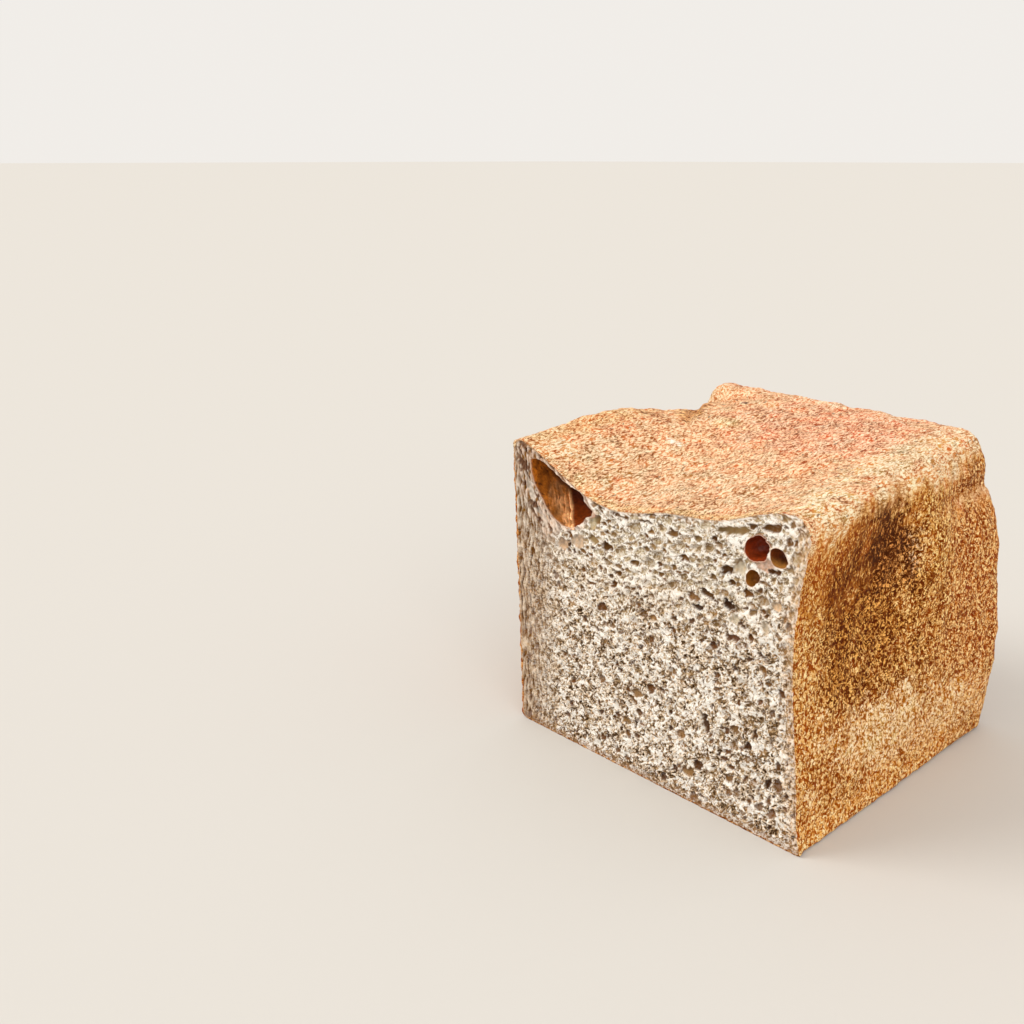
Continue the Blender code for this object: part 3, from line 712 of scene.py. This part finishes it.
def rim_distance(x, z, name):
    """Distance outwards from an opening's rim, in mm, negative inside."""
    centre_x, centre_z = OPENINGS[name][0]
    return np.hypot(x - centre_x, z - centre_z) - RIMS[name](np.arctan2(z - centre_z, x - centre_x))


CRUMB_WALL = linear((252, 244, 231))
# Painted shade in the bubbles: the tone of a bubble's floor for each darkness
BUBBLE_FLOOR_SHADES = ((0, (214, 196, 162)), (0.3, (164, 136, 92)), (0.6, (112, 74, 30)), (1, (58, 30, 6)))
CREVICE_SHADE = linear((84, 54, 24))


def work_out_cut():
    cut = Cut()
    bubbles = scatter_bubbles()
    for number, row in enumerate(bubbles):
        cut.stamp(number, *row[:4], row[5])
    p, cell = cut.points, cut.cell
    table = np.concatenate([bubbles, np.zeros((1, 7))])
    draw = np.random.default_rng(3)
    tint_of = draw.normal(size=len(table))[cell]
    lump_share = 0.03 + 0.3 * ease(16, 46, TOP_AT_CUT - table[:, 1])
    is_lump = (draw.random(len(table)) < lump_share) & (np.arange(len(table)) >= len(PITS)) & (table[:, 2] < 1.5)
    lumpy = is_lump[cell] & (cell >= 0)
    size_of = np.maximum(table[cell, 2], table[cell, 3])
    darkness = table[cell, 6]
    low_down = ease(14, 50, TOP_AT_CUT - cut.pz)
    q = cut.first + (0.12 + 0.16 * low_down) * noise(p, 0.9, 51) + 0.2 * noise(p, 1.8, 92)
    gate = ease(0.02, 0.34, cut.second - cut.first + 0.1 * noise(p, 0.7, 52))
    bowl = np.sqrt(np.clip(1 - q * q, 0, 1)) * np.where(cell >= 0, gate, 0)
    crests = np.abs(noise(p, 1.3, 54)) + 0.6 * np.abs(noise(p, 0.8, 68))
    grain = 0.2 * noise(p, 0.6, 53) + (0.35 + 0.85 * low_down) * (crests - 0.3)
    clumps = 0.3 * noise(p, 3.3, 55) + 0.3 * noise(p, 9, 56)
    pit = ease(0.1, 0.5, bowl) * ((cell >= 0) & (cell < len(PITS)))
    big = ease(0.8, 1.6, size_of) * bowl * ~lumpy * (0.4 + 0.6 * ease(0.1, 0.4, darkness))
    depth = np.where(lumpy, size_of * (0.3 - 0.7 * bowl), table[cell, 4] * bowl)
    depth = blur(depth, 0.2) + grain * (1 - 0.8 * big) + clumps + 0.1

    # Layers that follow the crust, and folds that follow the hollow
    warp = 0.7 * noise(p, 5, 57) + 0.3 * noise(p, 2, 58)
    soft = inside_distance(cut.px, cut.pz, soft=15)
    top_band = fall(1, 4.2, (TOP_AT_CUT - cut.pz) + warp)
    corner_band = bump(cut.px, 57, 8) * bump(cut.pz, 102, 11)
    side_band = fall(1.2, 6.5, 0.5 * BASE_WIDTH - np.abs(cut.px) + 1.5 * warp)
    base_band = fall(0.9, 2.6, cut.z + 0.5 * warp)
    layered = np.clip(top_band + corner_band + 0.7 * side_band + base_band, 0, 1)
    lines = 0.35 * np.sin(2 * math.pi * (soft + 1.3 * warp) / 1.05)
    lines += 0.35 * np.sin(2 * math.pi * (soft * 1.7 + 1.9 * warp) / 1.5) + 1.1 * noise(p, 1.4, 59)
    hollow_d = rim_distance(cut.x, cut.z, "hollow")
    folds_band = fall(5, 12, hollow_d + 2 * warp) * fall(-42, -33, cut.x - (cut.z - 80))
    folds_band = np.maximum(folds_band, 0.8 * fall(0.6, 2.4, hollow_d + 0.5 * warp))
    fold_along, fold_across = turned(cut.x + 0.8 * warp, cut.z, -45, 84, -49)
    folds = 1.5 * noise(on_cut(fold_along, fold_across), (7, 1, 1.5), 69) + 0.5 * noise(p, 1.2, 91)
    # The left of the cut: smoother, streaky crumb with a painted shadow of the other half on it.
    left_zone = fall(-55, -37, cut.x + 2 * warp)
    streaks = noise(on_cut(cut.x + 0.8 * warp, cut.z), (0.9, 1, 4.5), 60)
    smooth = np.clip(layered * 0.75 + folds_band * 0.8 + 0.5 * left_zone, 0, 0.92)
    # A crack just under the top crust, cut into the depth and painted dark as its shadow.
    split = bump(TOP_AT_CUT - cut.pz + 0.6 * warp, 1.1, 0.42)
    split = split * ease(-0.05, 0.3, noise(p, 5, 89) + 0.4 * bump(cut.x, -12, 16)) * ease(-34, -28, cut.x)
    split = split * fall(6, 16, cut.x)
    depth = depth * (1 - smooth) + 0.22 * layered * lines + 0.45 * folds_band * folds + 0.8 * split
    depth += 0.35 * streaks * (left_zone + 0.7 * side_band)

    skin = np.zeros_like(depth)
    skin_colour = np.zeros((*depth.shape, 3))
    for *spot, hollowness, tone in SKINS:
        q_skin = oval(cut.wx, cut.wz, *spot) + 0.3 * noise(p, 2.4, 85)
        share = fall(0.78, 1.02, q_skin)
        skin = np.maximum(skin, share)
        facing = np.clip(0.5 + 0.5 * (0.6 * (cut.x - spot[0]) - (cut.z - spot[1])) / spot[3], 0, 1)
        shaded = linear(tone) * (0.42 + 0.62 * facing + 0.35 * noise(p, 1.2, 86))[..., None]
        skin_colour = mix(skin_colour, shaded, share)
        dish = hollowness * np.sqrt(np.clip(1 - q_skin ** 2, 0, 1))
        depth = depth * (1 - share) + dish * share

    rim_near = np.full_like(depth, FAR)
    for name in OPENINGS:
        rim_near = np.minimum(rim_near, rim_distance(cut.x, cut.z, name))
    depth = depth * (0.3 + 0.7 * ease(0, 0.7, rim_near))
    depth = depth * (0.3 + 0.7 * ease(-0.2, 1.2, cut.inside))

    lump = np.zeros_like(depth)
    for *spot, height in LUMPS:
        q_lump = oval(cut.x, cut.z, *spot) + 0.22 * noise(p, 0.9, 61)
        lump = np.maximum(lump, height * np.sqrt(np.clip(1 - q_lump ** 2, 0, 1)))
    depth = depth * (1 - 0.5 * np.clip(lump * 2, 0, 1)) - lump

    # Colour
    # Mostly painted shade, with some browner crumb: bubble floors darker than the walls, the more so as the bubble's
    # darkness rises.
    steps, tones = zip(*BUBBLE_FLOOR_SHADES)
    floor = np.stack([np.interp(darkness, steps, channel) for channel in linear(tones).T], axis=-1)
    floor = mix(floor, floor * np.array((1.1, 0.93, 0.72)), np.clip(0.5 * tint_of, 0, 1))
    within = ease(0.15, 0.65, bowl) * ~lumpy * (1 - 0.9 * folds_band) * (1 - 0.6 * left_zone)
    colour = mix(np.broadcast_to(CRUMB_WALL, floor.shape), floor, within)
    upper = (cut.wz - table[cell, 1] - 0.6 * (cut.wx - table[cell, 0])) / np.maximum(size_of, 0.5)
    shade = within * ease(-0.1, 0.6, upper) * ease(0.6, 1.2, size_of)
    colour = stain(colour, (0.28, 0.2, 0.12), 0.85 * shade)
    # Painted shade in the crevices, where the depth lies below its blurred depth.
    cavity = depth - blur(depth, 0.5)
    crevice_shade = ease(0.02, 0.3, cavity + 0.05 * noise(p, 1.1, 62)) * (1 - big)
    colour = mix(colour, CREVICE_SHADE, (0.6 + 0.3 * low_down) * crevice_shade)
    broad = 0.5 * noise(p, 2.4, 63) + 0.5 * noise(p, 6, 64)
    broad = np.clip(0.3 + 1.1 * broad, 0, 1)
    colour = stain(colour, (0.8, 0.73, 0.64), broad * (0.2 + 0.6 * low_down))
    colour = colour * mix(np.array((1, 1.02, 1.05)), np.array((0.94, 0.83, 0.71)), low_down)
    gaps, crisp = ease(0.1, 0.9, lines) * layered, ease(0.1, 0.9, -lines) * layered
    colour = paint(colour, (146, 108, 72), 0.7 * gaps)
    colour = paint(colour, (248, 234, 220), 0.6 * crisp)
    colour = paint(colour, (128, 82, 44), 0.95 * folds_band * ease(-0.05, 0.3, folds))
    colour = paint(colour, (246, 220, 200), 0.85 * folds_band * ease(0, 0.3, -folds))
    # Painted shadow of the other half over the left of the cut, together with the browner streaks of the crust's cut
    # edge.
    colour = stain(colour, (0.28, 0.17, 0.08), left_zone * (0.7 + 0.5 * np.clip(2 * streaks, -0.8, 0.8)))
    tan = (0.6 + 0.5 * np.clip(2 * streaks, -1, 1)) * side_band * (cut.x > 0)
    colour = stain(colour, (0.82, 0.6, 0.38), tan)
    colour = paint(colour, (130, 90, 50), 0.7 * base_band)
    # Painted shade: the crumb darker towards the foot of the cut.
    colour = stain(colour, (0.74, 0.6, 0.44), 0.7 * fall(1.5, 8, cut.z + 1.5 * warp))
    # Painted shadow in the crack under the top crust.
    colour = paint(colour, (88, 54, 26), 0.9 * split)
    colour = mix(colour, skin_colour, 0.9 * skin * (1 - pit * (darkness > 0.6)))
    rusty = ease(0.35, 0.7, noise(p, 1.3, 65) + 0.2 * noise(p, 0.5, 66))
    colour = stain(colour, (1, 0.78, 0.56), 0.6 * rusty)
    outer = fall(0.2, 0.9, cut.inside + 0.35 * noise(p, 1.4, 67))
    colour = paint(colour, (184, 132, 78), 0.65 * outer)
    rim_pale = np.clip(0.4 + 1.2 * noise(p, 1.8, 87), 0, 0.8)
    colour = paint(colour, RIM_PALE, rim_pale * fall(0.1, 0.4, rim_near))
    rough = (1 - (0.85 - 0.45 * low_down) * big) * (0.62 + 0.38 * low_down)
    rough = rough * (1 - np.clip(0.5 * layered + 0.8 * folds_band, 0, 0.9))
    rough = rough * (1 - 0.85 * skin) * ease(0, 0.6, rim_near)
    rough = rough * (1 - np.maximum(0.75 * left_zone, 0.3 * side_band))
    rough = rough * (1 - np.maximum(0.92 * pit, 0.9 * within * ease(0.25, 0.6, darkness) * ease(0.5, 1, size_of)))
    return depth, np.concatenate([colour, rough[..., None]], axis=-1)


def sample(values, x, z):
    """Reads a grid of the cut between its points."""
    i = np.clip((x - LEFT_EDGE) / CELL, 0, WIDE - 1.001)
    j = np.clip((z - FOOT_EDGE) / CELL, 0, TALL - 1.001)
    i0, j0 = i.astype(int), j.astype(int)
    fi, fj = i - i0, j - j0
    if values.ndim == 3:
        fi, fj = fi[..., None], fj[..., None]
    low = values[j0, i0] * (1 - fi) + values[j0, i0 + 1] * fi
    high = values[j0 + 1, i0] * (1 - fi) + values[j0 + 1, i0 + 1] * fi
    return low * (1 - fj) + high * fj


CRUMB_ROWS, CRUMB_COLUMNS = 399, 440


def crumb(material):
    """The cut's face in two bands, open at the hollow and the round holes."""
    depth, colour = work_out_cut()
    px, pz = disc(CRUMB_ROWS, CRUMB_COLUMNS, 0.15)
    x, z = place(px / BASE_WIDTH + 0.5, pz / TOP_AT_CUT, 0)
    gone = np.zeros((CRUMB_ROWS - 1, CRUMB_COLUMNS - 1), bool)
    for name in OPENINGS:
        distance = rim_distance(x, z, name)
        within = distance < 0
        lost = within[:-1, :-1] & within[1:, :-1] & within[:-1, 1:] & within[1:, 1:]
        gone |= lost
        touched = np.zeros_like(within)
        for rows in (slice(None, -1), slice(1, None)):
            for columns in (slice(None, -1), slice(1, None)):
                touched[rows, columns] |= ~lost
        move = within & touched
        centre_x, centre_z = OPENINGS[name][0]
        reach = np.hypot(x - centre_x, z - centre_z)
        grow = np.where(move, (reach - distance) / np.maximum(reach, 1e-6), 1)
        x = centre_x + (x - centre_x) * grow
        z = centre_z + (z - centre_z) * grow
    points = np.stack([x, sample(depth, x, z) + 0.05, z], axis=-1)
    painted = sample(colour, x, z)
    half = CRUMB_ROWS // 2
    for name, rows in (("crumb_lower", slice(0, half + 1)), ("crumb_upper", slice(half, CRUMB_ROWS))):
        part = points[rows]
        attributes = {"tint": painted[rows, :, :3], "rough": painted[rows, :, 3]}
        make_piece(name, part, fitted(part[..., 0], part[..., 2]), attributes, material,
                   keep=~gone[rows.start:rows.stop - 1])


# How far a point of a lining shifts on the cut, for each mm it lies behind it, seen from the photo's side
SEEN_SHIFT = (0.99, 0.43)


def hollow_colour(u, w, p):
    """The hollow's lining, where u and w are x and z as seen on the cut."""
    upright = noise(on_cut(u, w), (1.3, 1, 5), 72)
    colour = mix(linear((162, 102, 34)), linear((112, 66, 20)), ease(-0.3, 0.5, noise(on_cut(u, w), 4, 70)))
    veil = bump(u, -41.5, 4.4) * bump(w, 86, 5.4) + 0.9 * bump(u, -38.6, 2.8) * bump(w, 81.5, 4)
    wisps = 0.75 + 1.1 * upright + 0.7 * noise(on_cut(u + 0.3 * w, w), (0.8, 1, 3.4), 90)
    colour = paint(colour, (240, 192, 160), np.clip(0.8 * veil * wisps, 0, 0.8))
    colour = paint(colour, (84, 54, 18), 0.75 * bump(u, -43, 2.2) * bump(w, 81.5, 2.6))
    right = ease(-36.6, -35.2, u + 0.5 * noise(p, 2, 74))
    colour = mix(colour, mix(linear((128, 62, 16)), linear((84, 32, 8)), ease(84, 90, w)), right)
    line = np.interp(w, (78, 82, 86, 92), (-35.2, -35.9, -35.5, -37.2))
    strand = bump(u, line, 0.5) * ease(93, 90.5, w) + 0.6 * bump(u, line - 1.6, 0.3) * ease(84, 82, w)
    strand = strand * np.clip(1 + 1.2 * noise(p, 3, 88), 0.5, 1.3)
    colour = mix(colour, 1.5 * linear((252, 214, 188)), np.clip(strand, 0, 1))
    roof = np.interp(u, (-56, -46, -36.8, -31, -26), (98.4, 96.4, 92, 90, 85.8))
    shade = fall(0, 2.6, roof - w)
    colour = paint(colour, (74, 30, 8), 0.8 * shade * ease(-50, -44, u))
    dots = ease(0.36, 0.5, noise(on_cut(u, w), 1.1, 75)) * ease(-43, -47, u)
    return paint(colour, (70, 30, 6), 0.75 * dots), strand, veil * upright


# Tone of each hole's upper wall, in painted shade, and of its floor, in painted light
HOLE_SHADED_AND_LIT_TONES = {
    "hole_a": ((104, 38, 10), (128, 54, 16)), "hole_b": ((92, 46, 14), (150, 112, 64)),
    "hole_c": ((118, 78, 26), (134, 94, 40)),
}
LINING_TINT = np.array((1.4, 1.12, 0.66))


def lining(name, material):
    """The inside of the hollow or of a round hole, tucked behind the crumb at its rim."""
    (centre_x, centre_z), deep, squareness, _, _ = OPENINGS[name]
    large = name == "hollow"
    around, rings = (360, 96) if large else (96, 26)
    turn = np.linspace(0, 0.5 * math.pi, rings)
    across = np.concatenate([[1.08], np.cos(turn) ** (2 / squareness)])
    inwards = np.concatenate([[0.03], np.sin(turn) ** (2 / squareness)])
    across[-1] = 0.004
    across, angle = np.meshgrid(across, np.linspace(-math.pi, math.pi, around + 1), indexing="ij")
    inwards = np.broadcast_to(inwards[:, None], across.shape)
    radius = RIMS[name](angle) * across
    x, z = centre_x + radius * np.cos(angle), centre_z + radius * np.sin(angle)
    y = 0.12 + deep * inwards
    p = np.stack([x, y, z], axis=-1)
    fade = ease(0, 0.12, inwards)
    if large:
        u, w = x + SEEN_SHIFT[0] * y, z + SEEN_SHIFT[1] * y
        colour, strand, veil = hollow_colour(u, w, p)
        wrinkle = 0.6 * noise(p, 7, 71) + 0.3 * noise(p, (2, 4, 7), 76) + 0.1 * noise(p, 1.1, 73)
        y = y - fade * (0.8 * wrinkle + 0.9 * strand + 1.2 * veil)
    else:
        y = y - fade * (0.4 * noise(p, 2.6, 77) + 0.15 * noise(p, 1, 78))
        shaded_wall, floor = HOLE_SHADED_AND_LIT_TONES[name]
        # Painted shade and light: each hole darker above its middle and lighter on its floor below.
        colour = mix(linear(shaded_wall), linear(floor), ease(0.6, -1.6, z + SEEN_SHIFT[1] * y - centre_z))
    colour = colour * (1 + 0.3 * noise(p, 1.4, 79))[..., None] * LINING_TINT
    colour = paint(colour, RIM_PALE, 0.9 * fall(0, 0.05 if large else 0.02, inwards))
    points = np.stack([x, y, z], axis=-1)
    spread = 0.48 * (across * 0.35 + (1 - inwards) * 0.65)
    uv = np.stack([0.5 + spread * np.cos(angle), 0.5 + spread * np.sin(angle)], axis=-1)
    make_piece(name + "_lining", points, uv, {"tint": colour}, material)


# Materials
class Look:
    """Builds the nodes of one material."""

    def __init__(self, name, roughness, specular):
        self.material = bpy.data.materials.new(name)
        self.material.use_nodes = True
        self.tree = self.material.node_tree
        self.shader = self.tree.nodes["Principled BSDF"]
        self.shade(Roughness=roughness, Specular_IOR_Level=specular)
        self.where = self.node("TexCoord", {}, "Object")

    def node(self, kind, inputs, output=0, **settings):
        """Adds a node with those settings and inputs and gives one of its outputs."""
        made = self.tree.nodes.new("ShaderNode" + kind)
        for key, value in settings.items():
            setattr(made, key, value)
        for key, value in inputs.items():
            self.feed(made.inputs[key], value)
        return made.outputs[output]

    def feed(self, socket, value):
        if isinstance(value, bpy.types.NodeSocket):
            self.tree.links.new(value, socket)
        elif value is not None:
            socket.default_value = value

    def attribute(self, name, output="Color"):
        return self.node("Attribute", {}, output, attribute_name=name)

    def sum(self, operation, a, b=None, clamp=False, c=None):
        return self.node("Math", {0: a, 1: b, 2: c}, operation=operation, use_clamp=clamp)

    def times(self, a, b):
        return self.sum("MULTIPLY", a, b)

    def stretched(self, scale, turn):
        turn = tuple(math.radians(a) for a in turn)
        return self.node("Mapping", {"Vector": self.where, "Scale": scale, "Rotation": turn})

    def noise(self, size, detail=2, roughness=0.6, distortion=0, where=None):
        """Noise with lumps of that size in mm."""
        inputs = {"Scale": 1000 / size, "Detail": detail, "Roughness": roughness, "Distortion": distortion}
        return self.node("TexNoise", {"Vector": where or self.where, **inputs})

    def threads(self, field, thin, wide, start, end):
        """Thin curved lines where noise crosses its middle, here and there."""
        off = self.sum("ABSOLUTE", self.sum("SUBTRACT", field, 0.5))
        return self.times(self.range(off, thin, wide, 1, 0), self.range(self.noise(1.8, 1), start, end))

    def range(self, value, low, high, to_low=0, to_high=1):
        inputs = {"Value": value, "From Min": low, "From Max": high, "To Min": to_low, "To Max": to_high}
        return self.node("MapRange", inputs, interpolation_type="SMOOTHSTEP")

    def mix(self, a, b, share, blend="MIX"):
        return self.node("Mix", {"Factor": share, 6: a, 7: b}, 2, data_type="RGBA", blend_type=blend)

    def mix_value(self, a, b, share):
        return self.node("Mix", {"Factor": share, 2: a, 3: b}, data_type="FLOAT")

    def bump(self, height, distance, strength, under=None):
        inputs = {"Distance": distance * 0.001, "Strength": strength, "Height": height, "Normal": under}
        return self.node("Bump", inputs)

    def shade(self, **values):
        """Feeds the shader: Base_Color=, Normal= and so on."""
        for key, value in values.items():
            self.feed(self.shader.inputs[key.replace("_", " ")], value)
        return self.material


def crust_material():
    look = Look("baked_crust", 0.62, 0.03)
    ground = look.range(look.noise(1.25, 2.5, 0.66, 0.6), 0.38, 0.62, 0, 0.74)
    flecks = look.range(look.noise(0.95, 1.2, 0.55, 1), 0.55, 0.61)
    curls = look.threads(look.noise(1.4, 0.8, 0.5, 0.7), 0.035, 0.1, 0.52, 0.6)
    side = look.sum("MAXIMUM", ground, look.sum("MAXIMUM", flecks, curls))
    pits = look.range(look.noise(1.15, 1.2, 0.55, 0.8), 0.4, 0.47)
    slant = look.stretched((1, 1, 0.34), (38, 0, 0))
    combed = look.range(look.noise(0.6, 1.6, 0.6, 0.7, slant), 0.38, 0.76)
    combed = look.mix_value(combed, look.sum("MAXIMUM", combed, curls), 0.7)
    side = look.times(look.mix_value(side, combed, look.attribute("combed", "Fac")), pits)
    along = look.stretched((1, 0.36, 1), (0, 0, 8))
    top = look.range(look.noise(0.58, 2, 0.64, 0.8, along), 0.36, 0.62)
    thin = look.threads(look.noise(1.9, 1, 0.5, 0.6, along), 0.012, 0.045, 0.47, 0.55)
    top = look.sum("SUBTRACT", top, look.times(thin, 0.9), True)
    on_top = look.attribute("on_top", "Fac")
    fac = look.mix_value(side, top, on_top)
    colour = look.mix(look.attribute("dark"), look.attribute("tone"), look.sum("MULTIPLY", fac, 2, True))
    colour = look.mix(colour, look.attribute("light"), look.sum("MULTIPLY_ADD", fac, 2, True, -1))
    cracks = look.range(look.noise(1.1, 1, 0.6, 0.8, along), 0.67, 0.72, 0, 0.75)
    colour = look.mix(colour, (0.14, 0.05, 0.02, 1), look.times(cracks, on_top))
    relief = look.bump(fac, 0.16, 0.8, look.bump(look.noise(0.35, 2), 0.06, 0.6))
    return look.shade(Base_Color=colour, Roughness=look.range(fac, 0, 1, 0.5, 0.72), Normal=relief)


def crumb_material():
    look = Look("wholemeal_crumb", 0.9, 0.2)
    rough = look.attribute("rough", "Fac")
    flaky = look.range(rough, 0.6, 0.95)
    speckle = look.mix_value(look.noise(1, 2, 0.65, 1.1), look.noise(1.9, 3, 0.68, 1.6), flaky)
    clump = look.range(look.noise(3, 1), 0.4, 0.6, -0.04, 0.04)
    speckle = look.sum("ADD", speckle, clump)
    # Specks on the crests are the crumb's pale walls with a painted highlight; the dark gaps and their brown edges
    # are painted shade in the fine pores.
    pale_wall_and_highlight = look.times(look.range(speckle, 0.49, 0.56, 0, 0.95), rough)
    gap = look.times(look.range(speckle, 0.385, 0.45, 1, 0), rough)
    tint = look.mix(look.attribute("tint"), (1, 0.965, 0.9, 1), pale_wall_and_highlight)
    pore_shade_edge = look.times(look.range(speckle, 0.4, 0.5, 0.7, 0), rough)
    tint = look.mix(tint, (0.36, 0.22, 0.1, 1), pore_shade_edge)
    tint = look.mix(tint, (0.045, 0.018, 0.003, 1), gap)
    bran = look.range(look.noise(0.9, 2, 0.6, 0.6), 0.67, 0.72, 0, 0.6)
    tint = look.mix(tint, (0.3, 0.16, 0.07, 1), bran)
    height = look.times(speckle, look.range(rough, 0, 1, 0.25, 1))
    return look.shade(Base_Color=tint, Normal=look.bump(height, 0.5, 0.8))


def lining_material():
    look = Look("bubble_lining", 0.5, 0.4)
    fine = look.range(look.noise(0.7, 3, 0.6), 0.3, 0.7, 0.78, 1.2)
    colour = look.mix(look.attribute("tint"), fine, 1, "MULTIPLY")
    return look.shade(Base_Color=colour, Normal=look.bump(look.noise(0.9, 3, 0.6), 0.12, 0.7))


# Light, floor and camera
WORLD_COLOUR, WORLD_STRENGTH = (1, 0.965, 0.92, 1), 0.88
SUN_COLOUR = (1, 0.98, 0.95)
# Name, direction, strength and angle in degrees
SUNS = (("key", (0.55, 0.5, -0.67), 1.1, 30), ("fill", (-0.75, 0.5, -0.43), 0.7, 40))
FLOOR_COLOUR, FLOOR_REACH = (0.70, 0.675, 0.635, 1), 40
CAMERA_AT, CAMERA_TOWARDS = (0.2076, -0.3089, 0.1939), (-0.7002, 0.6460, -0.3040)
SENSOR_WIDTH, FOCAL_PIXELS, PHOTO_PIXELS = 36, 1112, 1024


def add_object(name, data):
    made = bpy.data.objects.new(name, data)
    bpy.context.scene.collection.objects.link(made)
    return made


def aim(made, direction):
    made.rotation_mode = "QUATERNION"
    made.rotation_quaternion = Vector(direction).to_track_quat("-Z", "Y")


def make_floor():
    mesh = bpy.data.meshes.new("floor")
    corners = [(a * FLOOR_REACH, b * FLOOR_REACH, 0) for a, b in ((-1, -1), (1, -1), (1, 1), (-1, 1))]
    mesh.from_pydata(corners, [], [(0, 1, 2, 3)])
    mesh.materials.append(Look("pale_floor", 1, 0).shade(Base_Color=FLOOR_COLOUR))
    add_object("floor", mesh)


def light_scene():
    world = bpy.data.worlds.new("studio")
    bpy.context.scene.world = world
    world.use_nodes = True
    background = world.node_tree.nodes["Background"]
    background.inputs["Color"].default_value = WORLD_COLOUR
    background.inputs["Strength"].default_value = WORLD_STRENGTH
    for name, direction, strength, angle in SUNS:
        data = bpy.data.lights.new(name, "SUN")
        data.energy, data.angle, data.color = strength, math.radians(angle), SUN_COLOUR
        aim(add_object(name, data), direction)
    bpy.context.scene.view_settings.view_transform = "Standard"


def make_camera():
    data = bpy.data.cameras.new("camera")
    data.sensor_width = SENSOR_WIDTH
    data.lens = SENSOR_WIDTH * FOCAL_PIXELS / PHOTO_PIXELS
    camera = add_object("camera", data)
    camera.location = CAMERA_AT
    aim(camera, CAMERA_TOWARDS)
    bpy.context.scene.camera = camera


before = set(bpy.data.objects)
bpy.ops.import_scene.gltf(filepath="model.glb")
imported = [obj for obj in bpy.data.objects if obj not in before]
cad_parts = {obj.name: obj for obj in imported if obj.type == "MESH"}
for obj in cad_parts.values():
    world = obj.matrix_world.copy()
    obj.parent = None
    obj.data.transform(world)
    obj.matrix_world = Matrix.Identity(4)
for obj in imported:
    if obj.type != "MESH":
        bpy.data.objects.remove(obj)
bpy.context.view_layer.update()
make_camera()
light_scene()
make_floor()
baked = crust_material()
for strip in STRIPS:
    crust_strip(*strip, baked)
end_face(baked)
crumb(crumb_material())
inner_skin = lining_material()
for opening in OPENINGS:
    lining(opening, inner_skin)
